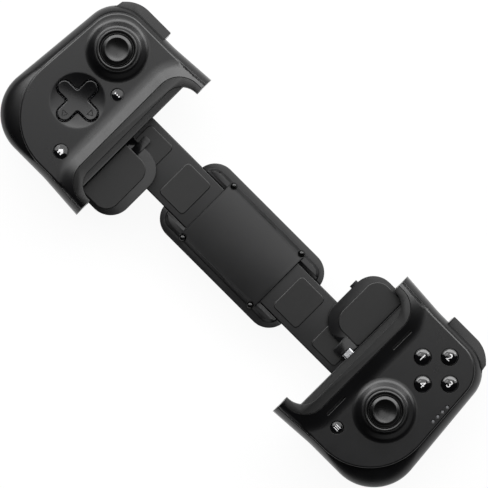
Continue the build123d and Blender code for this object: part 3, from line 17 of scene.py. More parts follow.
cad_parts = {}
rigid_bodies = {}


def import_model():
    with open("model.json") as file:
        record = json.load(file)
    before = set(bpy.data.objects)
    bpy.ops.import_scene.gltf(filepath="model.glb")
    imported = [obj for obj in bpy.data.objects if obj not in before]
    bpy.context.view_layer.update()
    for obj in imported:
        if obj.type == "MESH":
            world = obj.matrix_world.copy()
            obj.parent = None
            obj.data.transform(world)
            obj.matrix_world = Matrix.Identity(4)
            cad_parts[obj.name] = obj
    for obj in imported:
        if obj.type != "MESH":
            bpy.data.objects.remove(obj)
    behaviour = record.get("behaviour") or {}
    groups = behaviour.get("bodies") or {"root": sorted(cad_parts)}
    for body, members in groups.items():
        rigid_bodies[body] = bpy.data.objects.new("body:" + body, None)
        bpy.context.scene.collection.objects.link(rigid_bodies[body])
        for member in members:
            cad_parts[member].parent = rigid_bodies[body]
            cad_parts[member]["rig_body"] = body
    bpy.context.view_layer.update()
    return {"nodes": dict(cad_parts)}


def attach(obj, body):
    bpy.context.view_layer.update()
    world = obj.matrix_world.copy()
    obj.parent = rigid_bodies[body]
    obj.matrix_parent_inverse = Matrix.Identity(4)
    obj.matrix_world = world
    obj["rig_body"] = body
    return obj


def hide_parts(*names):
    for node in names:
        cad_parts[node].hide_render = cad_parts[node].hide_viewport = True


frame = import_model()
nodes = frame["nodes"]
MM = 0.001

# %% [markdown]
# ## Sizes
# The grips are drawn in millimetres, as distances out from the middle of the controller. The left grip is the
# right one mirrored, so every drawing is made once and placed by a sign. The CAD frame is centred on the
# bumpers and jaws together, which drops every Y by a little over a millimetre.

# %% Sizes of the real object, in millimetres
DROP_Y = 1.15
FACE_Z, SHELL_Z, RIDGE_Z, REST_Z = 32.5, 30.5, 35.3, 21.0
TIP_X, LIP_X, WAIST_X, BEZEL_X, BEZEL_Y, BEZEL_R = 68.6, 76.0, 92.5, 84.1, 40.4, 12.5
SIDE_TIP_Y, SIDE_Y, SIDE_TOP_X, SIDE_LOW_X = 47.15, 45.5, 131.5, 140.0
FACE_TIP_Y, FACE_Y, FACE_TOP_X, FACE_LOW_X = 43.8, 42.4, 128.15, 134.0
SIDE_TOP_R, SIDE_LOW_R, FACE_TOP_R, FACE_LOW_R, WAIST_R = 18.0, 24.0, 16.0, 32.5, 60.0
STICKS = {"left": (111.5, 24.7), "right": (107.1, -7.8)}
CROSS, DOTS, HOME, BARS = (107.9, -6.75), (95.9, 9.0), (95.9, -30.3), (96.5, -30.3)
FACE_BUTTONS, PITCH = (111.2, 24.1), 9.4
COMPASS = [(-1, 0), (0, 1), (1, 0), (0, -1)]
SMALL_R, HOME_R, FACE_BUTTON_R = 2.9, 3.4, 3.95
SIDES = {"left": -1, "right": 1}


def place(points, sign=1):
    """Drawing millimetres, as rows of x, y and z, to frame metres on one side."""
    made = np.array(points, float).reshape(-1, 3)
    made[:, 0] *= sign
    made[:, 1] -= DROP_Y
    return made * MM


def to_drawing(points, sign):
    """Frame metres to drawing millimetres on one side."""
    return np.array([tuple(p) for p in points]) / MM * (sign, 1, 1) + (0, DROP_Y, 0)


print("origin of the drawing in the frame", place([(0, 0, 0)])[0])

# %% [markdown]
# ## Colour and nodes
# Colours are written as the sRGB hex values that a paint chip would carry, and one function makes them
# linear. One more function adds a shader node, sets its options and joins or fills its sockets. The short
# ones after it are the phrases that every finish here is built from: a pattern of a real size, a sum, a
# stretched range, a mix of two chips, a bump, and the shader that closes the material.


# %% Colour and node helpers
def colour(code):
    """Linear colour with alpha from an sRGB hex value."""
    parts = [int(code[i : i + 2], 16) / 255 for i in (1, 3, 5)]
    linear = [p / 12.92 if p <= 0.04045 else ((p + 0.055) / 1.055) ** 2.4 for p in parts]
    return (*linear, 1.0)


def add(tree, kind, inputs=(), **settings):
    """One shader node: settings are its options, inputs its sockets, either values or other sockets."""
    made = tree.nodes.new(kind)
    for key, value in settings.items():
        setattr(made, key, value)
    for key, value in dict(inputs).items():
        if isinstance(value, bpy.types.NodeSocket):
            tree.links.new(value, made.inputs[key])
        else:
            made.inputs[key].default_value = value
    return made


def maths(tree, operation, *values, **settings):
    """The result of a sum on values or sockets."""
    made = add(tree, "ShaderNodeMath", dict(enumerate(values)), operation=operation, **settings)
    return made.outputs["Value"]


def ranged(tree, value, start, end, low, high):
    """A value stretched from one range onto another."""
    sockets = {"Value": value, "From Min": start, "From Max": end, "To Min": low, "To Max": high}
    return add(tree, "ShaderNodeMapRange", sockets).outputs["Result"]


def mixed(tree, share, dark, pale):
    """A colour between two hex values."""
    sockets = {"Factor": share, "A": colour(dark), "B": colour(pale)}
    return add(tree, "ShaderNodeMix", sockets, data_type="RGBA").outputs["Result"]


def bumped(tree, height, depth_mm):
    """The normal of a skin that follows a pattern, this deep."""
    sockets = {"Height": height, "Strength": 1.0, "Distance": depth_mm * MM}
    return add(tree, "ShaderNodeBump", sockets).outputs["Normal"]


def pattern(tree, size_mm, kind="Noise", output="Fac", detail=2.0, stretch=None, **settings):
    """A pattern on the object's own axes, whose features are this many millimetres across."""
    where = add(tree, "ShaderNodeTexCoord").outputs["Object"]
    if stretch:
        where = add(tree, "ShaderNodeMapping", {"Vector": where, "Scale": stretch}).outputs["Vector"]
    sockets = {"Vector": where, "Scale": 1 / (size_mm * MM)}
    if kind == "Noise":
        sockets["Detail"] = detail
    return add(tree, "ShaderNodeTex" + kind, sockets, **settings).outputs[output]


def new_material(name):
    """An empty material with its output node."""
    made = bpy.data.materials.new(name)
    made.use_nodes = True
    made.node_tree.nodes.clear()
    return made, made.node_tree, add(made.node_tree, "ShaderNodeOutputMaterial")


def skinned(made, tree, out, sockets):
    """The material, closed with one layered shader."""
    shader = add(tree, "ShaderNodeBsdfPrincipled", sockets)
    tree.links.new(shader.outputs["BSDF"], out.inputs["Surface"])
    return made


print("mid grey 808080 is", round(colour("#808080")[0], 3), "linear")

# %% [markdown]
# ## Moulded plastics and rubbers
# Most of the controller is injection moulded. Spark-eroded steel leaves a fine grain on the plastic, so that
# it looks satin rather than shiny, and handling polishes the corners first. The recipe below starts from the
# polymer's own gloss and adds three things at real scales: the grain as bump, slow patches where the gloss
# differs, and corners that are polished. Those corners are also painted a little paler, which is a painted
# highlight along the edges. A tenth of a millimetre of grain is too fine for a whole-object picture, so it is
# drawn a few times coarser.

# %% A recipe for moulded polymers
PATCH_MM, PATCH_DETAIL, COAT_ROUGH = 14, 3.0, 0.08
CLOUD_RANGE, CORNER_RANGE = (0.3, 0.7), (0.53, 0.64)


def moulded(name, dark, pale, rough, grain_mm, depth_mm, ior=1.5, corner_polish_and_highlight_share=0.35, coat=0.0):
    """A moulded polymer: rough is (least, most); the share after ior is how far the corners are polished and
    painted paler, a painted edge highlight.
    """
    made, tree, out = new_material(name)
    patches, grain = pattern(tree, PATCH_MM, detail=PATCH_DETAIL), pattern(tree, grain_mm)
    pointed = add(tree, "ShaderNodeNewGeometry").outputs["Pointiness"]
    # Convex corners are polished, so they are less rough, and are painted paler, which is a painted edge
    # highlight.
    corner_polish_and_highlight = maths(tree, "MULTIPLY", ranged(tree, pointed, *CORNER_RANGE, 0.0, corner_polish_and_highlight_share), patches)
    gloss = ranged(tree, patches, *CLOUD_RANGE, *rough)
    sockets = {
        "Base Color": mixed(tree, corner_polish_and_highlight, dark, pale),
        "Roughness": maths(tree, "SUBTRACT", gloss, corner_polish_and_highlight, use_clamp=True),
        "IOR": ior,
        "Coat Weight": coat,
        "Coat Roughness": COAT_ROUGH,
        "Normal": bumped(tree, grain, depth_mm),
    }
    return skinned(made, tree, out, sockets)


print("recipe for polymers ready, patches in mm", PATCH_MM)

# %% [markdown]
# The shells are PC/ABS, the usual blend for handheld electronics: tough, nearly black, with a fine
# spark-eroded grain. The eye sees a soft grey sheen where a large lamp is mirrored and almost nothing
# elsewhere.

# %% PC/ABS shells and face plates
satin_pc_abs = moulded("PC_ABS_spark_eroded_satin", "#070708", "#161617", (0.27, 0.33), 0.30, 0.004)
smooth_pc_abs = moulded("PC_ABS_fine_satin_face", "#070708", "#161617", (0.27, 0.32), 0.25, 0.003)
print(satin_pc_abs.name, "and", smooth_pc_abs.name)

# %% [markdown]
# The straps and the centre module are glass-filled nylon. It is stiffer and drier than the shells, with short
# glass fibres near the skin, which spread the sheen wider.

# %% Glass-filled nylon straps and centre module
nylon_strap = moulded("Nylon_glass_filled_moulded", "#080809", "#171718", (0.34, 0.40), 0.35, 0.005)
nylon_lid = moulded("Nylon_lid_eroded_grain", "#080809", "#161617", (0.42, 0.48), 0.30, 0.006, corner_polish_and_highlight_share=0.2)
print(nylon_strap.name, "and", nylon_lid.name)

# %% [markdown]
# The bezel, the tongues' cushions and the strap's pads are moulded thermoplastic rubber, which grips the
# phone. Rubber takes a matt skin and scatters light in all directions, so its sheen is flat and wide.

# %% Thermoplastic rubber
rubber_channel = moulded(
    "TPE_rubber_moulded_bezel", "#090909", "#161617", (0.36, 0.42), 0.40, 0.008, corner_polish_and_highlight_share=0.15
)
rubber_pad = moulded("TPE_rubber_moulded_pad", "#090909", "#161617", (0.30, 0.36), 0.45, 0.008, corner_polish_and_highlight_share=0.15)
silicone_cap = moulded(
    "Silicone_rubber_moulded_cap", "#050505", "#101010", (0.26, 0.32), 0.35, 0.005, corner_polish_and_highlight_share=0.2
)
silicone_mat = moulded("Silicone_rubber_moulded_membrane", "#a5a7ab", "#c4c6ca", (0.45, 0.6), 0.8, 0.01)
print("rubbers", rubber_channel.name, rubber_pad.name, silicone_cap.name, silicone_mat.name)

# %% [markdown]
# The bumpers are a smoother ABS than the shells, and the buttons are polished black acrylic: the mould for
# them is lapped to a mirror, so a lamp shows in them as a bright crescent.

# %% Polished and satin buttons
abs_bumper = moulded("ABS_smooth_moulded_bumper", "#0a0a0b", "#1c1c1d", (0.22, 0.28), 0.5, 0.003)
abs_trigger = moulded("ABS_satin_moulded_trigger", "#070708", "#161617", (0.30, 0.36), 0.35, 0.004)
acrylic_button = moulded(
    "Acrylic_polished_black", "#060607", "#121213", (0.06, 0.10), 1.5, 0.0012, ior=1.49, corner_polish_and_highlight_share=0.05, coat=0.6
)
cross_plastic = moulded("ABS_semi_gloss_cross_pad", "#060607", "#171718", (0.20, 0.25), 0.5, 0.002)
black_stud = moulded(
    "Acetal_polished_black", "#050505", "#101010", (0.08, 0.14), 0.8, 0.001, ior=1.48, corner_polish_and_highlight_share=0.1
)
acetal_inside = moulded(
    "Acetal_moulded_black_inside", "#101011", "#1f1f20", (0.35, 0.45), 0.5, 0.004, ior=1.48
)
socket_plastic = moulded("Nylon_black_socket", "#0a0a0b", "#161617", (0.35, 0.45), 0.4, 0.003)
print("moulded materials", len(bpy.data.materials))

# %% [markdown]
# ## Metals
# Steel pins are drawn through a die, which leaves fine lines along them. The plug is stamped steel with a
# bright nickel plate. A metal has no colour of its own beneath its skin: the base colour is the colour of its
# mirror image. The lines are one cloudy pattern, drawn out tenfold along the metal so that the clouds become
# streaks.

# %% Drawn and stamped metals
LINE_DEPTH_MM, LINE_DETAIL = 0.002, 3.0
ALONG_X, ALONG_Z = (0.1, 1.0, 1.0), (1.0, 1.0, 0.1)


def drawn_metal(name, code, rough, line_mm, stretch):
    """A metal with fine lines: stretch widens the pattern along the lines."""
    made, tree, out = new_material(name)
    lines = pattern(tree, line_mm, detail=LINE_DETAIL, stretch=stretch)
    sockets = {
        "Base Color": colour(code),
        "Metallic": 1.0,
        "Roughness": ranged(tree, lines, *CLOUD_RANGE, *rough),
        "Normal": bumped(tree, lines, LINE_DEPTH_MM),
    }
    return skinned(made, tree, out, sockets)


steel_pin = drawn_metal("Steel_drawn_wire", "#b4b5b8", (0.18, 0.30), 0.3, ALONG_X)
black_screw = drawn_metal("Steel_black_oxide_screw", "#3c3c3f", (0.25, 0.40), 0.4, ALONG_Z)
nickel_plug = drawn_metal("Steel_nickel_plated_plug", "#d9dadd", (0.16, 0.26), 0.4, ALONG_X)
stamped_steel = drawn_metal("Steel_stamped_socket", "#9a9b9f", (0.22, 0.35), 0.5, ALONG_Z)
print("metals", steel_pin.name, black_screw.name, nickel_plug.name, stamped_steel.name)

# %% [markdown]
# ## Board, gauze, lights and legends
# These are small: a green solder mask over woven glass, a black woven gauze behind the vents, milky
# polycarbonate light pipes, and legends printed in pale grey. One recipe does for all four, because each is
# one pattern that sets the tone and, on all but the light pipes, the relief.


# %% Woven, cloudy and printed finishes
def patterned(name, codes, rough, size_mm, depth_mm=0, ior=1.5, **looks):
    """A material whose one pattern runs between two hex values and, where it has a depth, raises the skin."""
    made, tree, out = new_material(name)
    height = pattern(tree, size_mm, **looks)
    sockets = {"Base Color": mixed(tree, height, *codes), "Roughness": rough, "IOR": ior}
    if depth_mm:
        sockets["Normal"] = bumped(tree, height, depth_mm)
    return skinned(made, tree, out, sockets)


board_mask = patterned("FR4_glass_epoxy_solder_mask", ("#0c3a22", "#10452a"), 0.25, 0.6, 0.01, kind="Checker")
gauze_cloth = patterned(
    "Polyester_woven_gauze_black", ("#1c1c1d", "#050505"), 0.6, 0.35, 0.05,
    kind="Voronoi", output="Distance", distance="CHEBYCHEV",
)
milky_pipe = patterned("Polycarbonate_milky_light_pipe", ("#4a4a4c", "#6a6a6d"), 0.3, 0.5, ior=1.58)
legend_ink = patterned("Ink_pad_printed_pale_grey", ("#b9b9ba", "#e4e4e4"), 0.35, 0.4, 0.004)
print("materials in all", len(bpy.data.materials))

# %% [markdown]
# ## Finishing helper
# Every new piece is linked to the scene, is given its material, rides on its body, and,
# where it takes a CAD node's place, hides that node.


# %% Put a piece in its place
def settle(piece, material, body, slot, *stands_for):
    """Links a piece, gives it its material, and ties it to its body and the nodes that it replaces."""
    bpy.context.scene.collection.objects.link(piece)
    piece.data.materials.clear()
    piece.data.materials.append(material)
    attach(piece, body)
    if stands_for:
        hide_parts(*stands_for)
    return piece


def body_of(node):
    """The body that a CAD node rides on."""
    return nodes[node]["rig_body"]


print("the left strap rides on", body_of("left_strap"))

# %% [markdown]
# ## Eased copies
# CAD solids have knife edges, and no moulded part has: the edge is where the light catches. For pieces that
# are right but for that, the CAD mesh is copied, its flat faces are joined again, and a bevel rounds every
# edge that is sharper than the curved faces' own facets.

# %% Round the edges of a copy
MERGE_M, FLAT_TURN, EDGE_TURN, EDGE_STEPS = 1e-6, math.radians(0.6), math.radians(34), 3


def merged(mesh, distance=MERGE_M):
    """A mesh for editing, with the points that lie together made one."""
    soft = bmesh.new()
    soft.from_mesh(mesh)
    bmesh.ops.remove_doubles(soft, verts=soft.verts, dist=distance)
    return soft


def eased(node, width_mm, material, slot):
    """A copy of a CAD node with rounded edges, in its place."""
    mesh = nodes[node].data.copy()
    soft = merged(mesh)
    bmesh.ops.dissolve_limit(soft, angle_limit=FLAT_TURN, verts=soft.verts, edges=soft.edges)
    soft.to_mesh(mesh)
    soft.free()
    mesh.shade_smooth()
    piece = bpy.data.objects.new(node + "_eased", mesh)
    bevel = piece.modifiers.new("rounded_edges", "BEVEL")
    bevel.width = width_mm * MM
    bevel.segments = EDGE_STEPS
    bevel.limit_method = "ANGLE"
    bevel.angle_limit = EDGE_TURN
    bevel.harden_normals = True
    bevel.use_clamp_overlap = True
    return settle(piece, material, body_of(node), slot, node)


for side in SIDES:
    eased(f"{side}_phone_channel", 0.5, rubber_channel, "channel_rubber")
    eased(f"{side}_phone_rest", 0.7, smooth_pc_abs, "shell_plastic")
    eased(f"{side}_strap", 0.3, nylon_strap, "strap_plastic")
    eased(f"{side}_bumper", 0.6, abs_bumper, "bumper_plastic")
    eased(f"{side}_trigger", 0.6, abs_trigger, "trigger_plastic")
eased("center_base", 0.6, nylon_strap, "bridge_plastic")
eased("center_cover", 0.45, nylon_lid, "bridge_plastic")
eased("center_pins", 0.15, black_stud, "dark_pin")

# %% [markdown]
# ## Drawing outlines
# A moulded piece starts as a closed line of straight runs and round corners. The line is stepped finely, so
# that the mesh built on it has a smooth edge from close by too.

# %% Outlines with round corners
STEP_MM, TURN_STEP, LEAST_RING_POINTS = 0.7, math.radians(9), 24
NEARLY_STRAIGHT, STEP_SLACK, SAME_MM = math.pi / 2 - 0.001, 0.2, 1e-4


def rounded_loop(corners, step=STEP_MM):
    """Points in mm round a closed line; corners are (x, y, radius), and runs are split into steps."""
    line = []
    spots = [np.array(corner[:2], float) for corner in corners]
    for i, (spot, corner) in enumerate(zip(spots, corners)):
        back, ahead = spots[i - 1] - spot, spots[(i + 1) % len(spots)] - spot
        back, ahead = back / np.linalg.norm(back), ahead / np.linalg.norm(ahead)
        half = math.acos(np.clip(back @ ahead, -1, 1)) / 2
        radius = corner[2]
        if radius <= 0 or half > NEARLY_STRAIGHT:
            line.append(spot)
            continue
        middle = spot + (back + ahead) / np.linalg.norm(back + ahead) * radius / math.sin(half)
        ends = [spot + way * radius / math.tan(half) - middle for way in (back, ahead)]
        first, last = (math.atan2(end[1], end[0]) for end in ends)
        sweep = (last - first + math.pi) % (2 * math.pi) - math.pi
        count = max(3, math.ceil(abs(sweep) * radius / step), math.ceil(abs(sweep) / TURN_STEP))
        for k in range(count + 1):
            turn = first + sweep * k / count
            line.append(middle + radius * np.array([math.cos(turn), math.sin(turn)]))
    split = []
    for here, there in zip(line, line[1:] + line[:1]):
        parts = max(1, math.ceil(np.linalg.norm(there - here) / step - STEP_SLACK))
        split += [here + (there - here) * k / parts for k in range(parts)]
    keep = [p for p, q in zip(split, split[1:] + split[:1]) if np.linalg.norm(p - q) > SAME_MM]
    return np.array(keep)


def ring(centre, radius, step=STEP_MM):
    """Points round a circle."""
    count = max(LEAST_RING_POINTS, math.ceil(2 * math.pi * radius / step))
    turns = np.linspace(0, 2 * math.pi, count, endpoint=False)
    return np.stack([centre[0] + radius * np.cos(turns), centre[1] + radius * np.sin(turns)], 1)


print("points round a 10 mm circle", len(ring((0, 0), 10)))

# %% [markdown]
# Three questions come up all the time: how far a point is from a line and in which direction, whether it lies
# inside it, and which way is inwards along it. All points are asked at once, as rows of an array, because a
# face plate has thousands of them. Distances are taken in batches, so that the arrays stay small.

# %% Measure from an outline
BATCH, FAR_MM, TINY = 2000, 1e9, 1e-9


def nearest_on(points, loop):
    """For each point: the distance to a closed line and the direction away from it."""
    best = np.full(len(points), FAR_MM)
    away = np.zeros((len(points), 2))
    ends = np.roll(loop, -1, 0) - loop
    length2 = (ends**2).sum(1)
    for k in range(0, len(points), BATCH):
        some = points[k : k + BATCH]
        gap = some[:, None] - loop[None]
        along = np.clip((gap * ends[None]).sum(2) / length2[None], 0, 1)
        gap -= along[..., None] * ends[None]
        far = (gap**2).sum(2)
        pick = far.argmin(1)
        rows = np.arange(len(some))
        best[k : k + BATCH] = np.sqrt(far[rows, pick])
        away[k : k + BATCH] = gap[rows, pick]
    return best, away / np.maximum(best, TINY)[:, None]


def inside(points, loop):
    """True for the points inside a closed line."""
    x, y = points[:, 0][:, None], points[:, 1][:, None]
    x1, y1 = loop[:, 0][None], loop[:, 1][None]
    x2, y2 = np.roll(loop, -1, 0)[:, 0][None], np.roll(loop, -1, 0)[:, 1][None]
    level = np.where(y2 == y1, 1e-12, y2 - y1)
    crossed = ((y1 > y) != (y2 > y)) & (x < (x2 - x1) * (y - y1) / level + x1)
    return crossed.sum(1) % 2 == 1


def within(points, loops):
    """True for the points inside the first line and outside all others, which are holes."""
    good = inside(points, loops[0])
    for hole in loops[1:]:
        good &= ~inside(points, hole)
    return good


def inward_of(loop):
    """The sideways direction at each point of a line: inwards where it runs counter-clockwise."""
    run = np.roll(loop, -1, 0) - np.roll(loop, 1, 0)
    return np.stack([-run[:, 1], run[:, 0]], 1) / np.linalg.norm(run, axis=1)[:, None]


print("gap from (12, 0) to that circle", nearest_on(np.array([[12.0, 0.0]]), ring((0, 0), 10))[0][0])

# %% [markdown]
# ## Moulded plates
# A face plate is a thin wall whose top rises and dips: a ramp, a collar, a bowl, holes with soft rims.
# Booleans and bevels would leave ragged shading on such a top. Instead the outline, the holes and a field of
# points are joined into triangles, and one height function lifts them. The same function gives the exact
# slope, and so the normals, which makes the sheen as smooth as on the moulding. The field has four sorts of
# points: the outlines, guide lines where the top bends, close rows beside each edge for its rounding, and an
# even grid between. A point is left out where an earlier one is too near.

# %% Fill an outline with points
ROUND_TURNS = np.radians([22.5, 45, 67.5, 90])
CLEAR_SHARE, ROW_CLEAR_SHARE = 0.7, 0.03
GUIDE_ROOM_MM, ROW_ROOM_SHARE, GRID_ROOM_SHARE = 0.11, 0.05, 0.55


def square_of(point):
    """The millimetre square that a point lies in."""
    return int(point[0] // 1.0), int(point[1] // 1.0)


def claim(points, room, taken):
    """The points that stay clear of all earlier ones, which are listed by their squares."""
    chosen = []
    for point in points:
        i, j = square_of(point)
        near = [q for x in (i - 1, i, i + 1) for y in (j - 1, j, j + 1) for q in taken.get((x, y), ())]
        if all((point[0] - q[0]) ** 2 + (point[1] - q[1]) ** 2 > room**2 for q in near):
            taken.setdefault((i, j), []).append(point)
            chosen.append(point)
    return np.array(chosen).reshape(-1, 2)


def edge_rows(loops, round_mm):
    """Rows on both sides of every line, where the rounding turns."""
    rows = []
    for loop in loops:
        normal = inward_of(loop)
        for turn in ROUND_TURNS:
            inset = round_mm * (1 - math.cos(turn))
            rows += [loop + normal * inset, loop - normal * inset]
    return rows


def even_grid(outer, spacing):
    """Points in staggered rows over the whole width and height of an outline."""
    low, high = outer.min(0), outer.max(0)
    x, y = np.meshgrid(np.arange(low[0], high[0], spacing), np.arange(low[1], high[1], spacing))
    x[1::2] += spacing / 2
    return np.stack([x.ravel(), y.ravel()], 1)


def field(loops, guides, round_mm, spacing):
    """All points of a plate, in the order in which they claim their places."""
    clear = CLEAR_SHARE * round_mm
    wanted = [(points, clear, GUIDE_ROOM_MM) for points in guides]
    for points in edge_rows(loops, round_mm):
        wanted.append((points, ROW_CLEAR_SHARE * round_mm, ROW_ROOM_SHARE * round_mm))
    wanted.append((even_grid(loops[0], spacing), clear, GRID_ROOM_SHARE * spacing))
    kept, taken = list(loops), {}
    for point in np.concatenate(loops):
        taken.setdefault(square_of(point), []).append(point)
    for points, least, room in wanted:
        points = points[within(points, loops)]
        if len(points):
            gap = np.min([nearest_on(points, loop)[0] for loop in loops], 0)
            kept.append(claim(points[gap > least], room, taken))
    return np.concatenate(kept)


print("points in a 20 mm disc", len(field([ring((0, 0), 10)], [], 0.35, 1.1)))

# %% [markdown]
# The field becomes triangles, and the triangles a closed body: the top, the same below, and a wall round the
# rim. Every corner of every face is told its normal. On the top it comes from the slope and the rounding, at
# the rim it looks straight out, and on the floor straight down.

# %% Slopes, rims and triangles
SLOPE_STEP_MM, JOIN_MM = 0.004, 1e-5


def slopes(height, points):
    """How fast a height function rises in x and y."""
    rise_x = height(points + (SLOPE_STEP_MM, 0)) - height(points - (SLOPE_STEP_MM, 0))
    rise_y = height(points + (0, SLOPE_STEP_MM)) - height(points - (0, SLOPE_STEP_MM))
    return np.stack([rise_x, rise_y], 1) / (2 * SLOPE_STEP_MM)


def rim_of(faces):
    """The edges that only one face has, running the way that it does."""
    rim = {}
    for face in faces:
        for a, b in zip(face, face[1:] + face[:1]):
            if (b, a) in rim:
                del rim[(b, a)]
            else:
                rim[(a, b)] = True
    return list(rim)


def closed(faces, count):
    """The faces of a closed body: the top, the same turned over and count points on, and the rim's wall."""
    under = [[i + count for i in reversed(face)] for face in faces]
    return faces + under + [[b, a, a + count, b + count] for a, b in rim_of(faces)]


def triangles(loops, flat):
    """Triangles between points, with the outlines kept as edges and the holes left open."""
    edges, start = [], 0
    for loop in loops:
        edges += [(start + i, start + (i + 1) % len(loop)) for i in range(len(loop))]
        start += len(loop)
    made = delaunay_2d_cdt([Vector(p) for p in flat], edges, [], 0, JOIN_MM)
    spots = np.array([tuple(v) for v in made[0]])
    middles = np.array([spots[list(face)].mean(0) for face in made[2]])
    return spots, [list(face) for face, good in zip(made[2], within(middles, loops)) if good]


def top_of(spots, loops, height, round_mm):
    """The heights and normals of a top whose edges are rounded off."""
    gaps = [nearest_on(spots, loop) for loop in loops]
    near = [gap for gap, away in gaps]
    away = np.stack([away for gap, away in gaps])[np.argmin(near, 0), np.arange(len(spots))]
    short = np.clip(round_mm - np.min(near, 0), 0, round_mm)
    drop = round_mm - np.sqrt(round_mm**2 - short**2)
    steep = short / np.sqrt(np.maximum(round_mm**2 - short**2, TINY))
    rise = slopes(height, spots) + steep[:, None] * away
    smooth = np.concatenate([-rise, np.ones((len(spots), 1))], 1)
    return height(spots) - drop, smooth / np.linalg.norm(smooth, axis=1)[:, None]


def rim_normals(spots, rim):
    """The level outward direction at each point of the rim, and zero at all others."""
    ways = np.zeros((len(spots), 3))
    for a, b in rim:
        run = spots[b] - spots[a]
        way = np.array([run[1], -run[0], 0]) / max(np.linalg.norm(run), TINY)
        ways[a] += way
        ways[b] += way
    on_rim = np.linalg.norm(ways, axis=1) > 0
    ways[on_rim] /= np.linalg.norm(ways[on_rim], axis=1)[:, None]
    return ways, on_rim


print("the rim of one square has edges", len(rim_of([[0, 1, 2, 3]])))

# %% [markdown]
# With those, a plate is made in one go. For the left grip it is mirrored, and a mirrored face has to be
# turned over to look outwards again, its normals with it.


# %% Build a plate from a height function
def plate(name, loops, height, floor_z, sign, round_mm, spacing, guides):
    """A closed moulding: top at height(points), edges rounded off, flat floor, all in drawing mm."""
    spots, faces = triangles(loops, field(loops, guides, round_mm, spacing))
    top, smooth = top_of(spots, loops, height, round_mm)
    rim = rim_of(faces)
    level, on_rim = rim_normals(spots, rim)
    smooth[on_rim] = level[on_rim]
    floor = np.full(len(spots), floor_z)
    points = np.concatenate([np.column_stack([spots, top]), np.column_stack([spots, floor])])
    polygons = closed(faces, len(spots))
    normals = [[smooth[i] for i in face] for face in faces] + [[(0, 0, -1)] * len(face) for face in faces]
    normals += [[level[b], level[a], level[a], level[b]] for a, b in rim]
    if sign < 0:
        polygons = [face[::-1] for face in polygons]
        normals = [[(-x, y, z) for x, y, z in reversed(corners)] for corners in normals]
    mesh = bpy.data.meshes.new(name)
    mesh.from_pydata(place(points, sign).tolist(), [], polygons)
    mesh.shade_smooth()
    mesh.normals_split_custom_set([tuple(normal) for corners in normals for normal in corners])
    mesh.update()
    print(name, "points", len(mesh.vertices), "faces", len(mesh.polygons))
    return bpy.data.objects.new(name, mesh)


print("faces of a closed body on one square", len(closed([[0, 1, 2, 3]], 4)))

# %% [markdown]
# ## Face plates
# The plate's outline is a waisted shape with one end cut out round the bezel. It is drawn once for both
# grips. The outer line alone, without the cut, is kept too, because a narrow slope runs along it.

# %% The outline of a face plate
TRIM_GAP, TIP_R, CUT_R, PAST_TIP_X = 0.1, 0.4, 0.2, 30
trim_x, trim_y = BEZEL_X + TRIM_GAP, BEZEL_Y + TRIM_GAP
face_corners = [
    (TIP_X, FACE_TIP_Y, TIP_R),
    (WAIST_X, FACE_Y, WAIST_R),
    (FACE_TOP_X, FACE_Y, FACE_TOP_R),
    (FACE_LOW_X, -FACE_Y, FACE_LOW_R),
    (WAIST_X, -FACE_Y, WAIST_R),
    (TIP_X, -FACE_TIP_Y, TIP_R),
    (TIP_X, -trim_y, CUT_R),
    (trim_x, -trim_y, BEZEL_R + TRIM_GAP),
    (trim_x, trim_y, BEZEL_R + TRIM_GAP),
    (TIP_X, trim_y, CUT_R),
]
face_loop = rounded_loop(face_corners)[::-1]
outer_line = rounded_loop([(PAST_TIP_X, FACE_TIP_Y, 0), *face_corners[1:5], (PAST_TIP_X, -FACE_TIP_Y, 0)])
print("points on the face plate's outline", len(face_loop))

# %% [markdown]
# Seen from the side, the plate climbs a ramp to the phone's bezel. On the real one the foot of the ramp is
# hollow and melts into the flat field, so the sheen fades in along it. The stick stands in a collar with the
# same soft foot, and on the left grip the cross pad lies in a round dish. Each is a height of its own, and
# they add up.

# %% Soft rises and distances
LEAST_SOFTNESS = 1e-6


def eased_rise(share, foot, brow):
    """A rise from 0 to 1 that starts softly over foot and ends softly over brow."""
    share = np.clip(share, 0, 1)
    whole = 1 - foot / 2 - brow / 2
    low = np.minimum(share, foot) ** 2 / (2 * max(foot, LEAST_SOFTNESS))
    middle = np.clip(share - foot, 0, 1 - foot - brow)
    last = np.clip(share - (1 - brow), 0, brow)
    return (low + middle + last - last**2 / (2 * max(brow, LEAST_SOFTNESS))) / whole


def from_bezel(points):
    """Distance outside the rounded end of the bezel."""
    across = np.abs(points[:, 1]) - (BEZEL_Y - BEZEL_R)
    along = points[:, 0] - (BEZEL_X - BEZEL_R)
    outside = np.hypot(np.maximum(across, 0), np.maximum(along, 0))
    return outside + np.minimum(np.maximum(across, along), 0) - BEZEL_R


def from_middle(points, centre):
    """Distance from a round feature's middle."""
    return np.hypot(points[:, 0] - centre[0], points[:, 1] - centre[1])


print("half way up a soft rise", round(float(eased_rise(0.5, 0.5, 0.0)), 3))

# %% [markdown]
# Now the features themselves. The stick's mouth is cut down inside its collar. The dish is part of a ball,
# blended softly into the field, and the narrow slope at the outer edge starts with a small curve.

# %% The heights of a face plate
RAMP_RUN, RAMP_FOOT = 9.5, 0.5
COLLAR_RISE, COLLAR_FOOT_R, COLLAR_TOP_R, COLLAR_FOOT, COLLAR_BROW = 2.7, 16.4, 10.6, 0.45, 0.22
MOUTH_R, MOUTH_RUN, MOUTH_DROP = 9.75, 1.15, 2.0
BOWL_R, BOWL_DEPTH, BOWL_SOFT, BALL_SHARE = 13.7, 2.2, 0.004, 0.98
LAND_MM, LAND_TILT, LAND_BLEND = 0.85, 0.5, 0.05


def ramp(points):
    """The ramp up to the bezel."""
    return (RIDGE_Z - FACE_Z) * eased_rise(1 - from_bezel(points) / RAMP_RUN, RAMP_FOOT, 0.0)


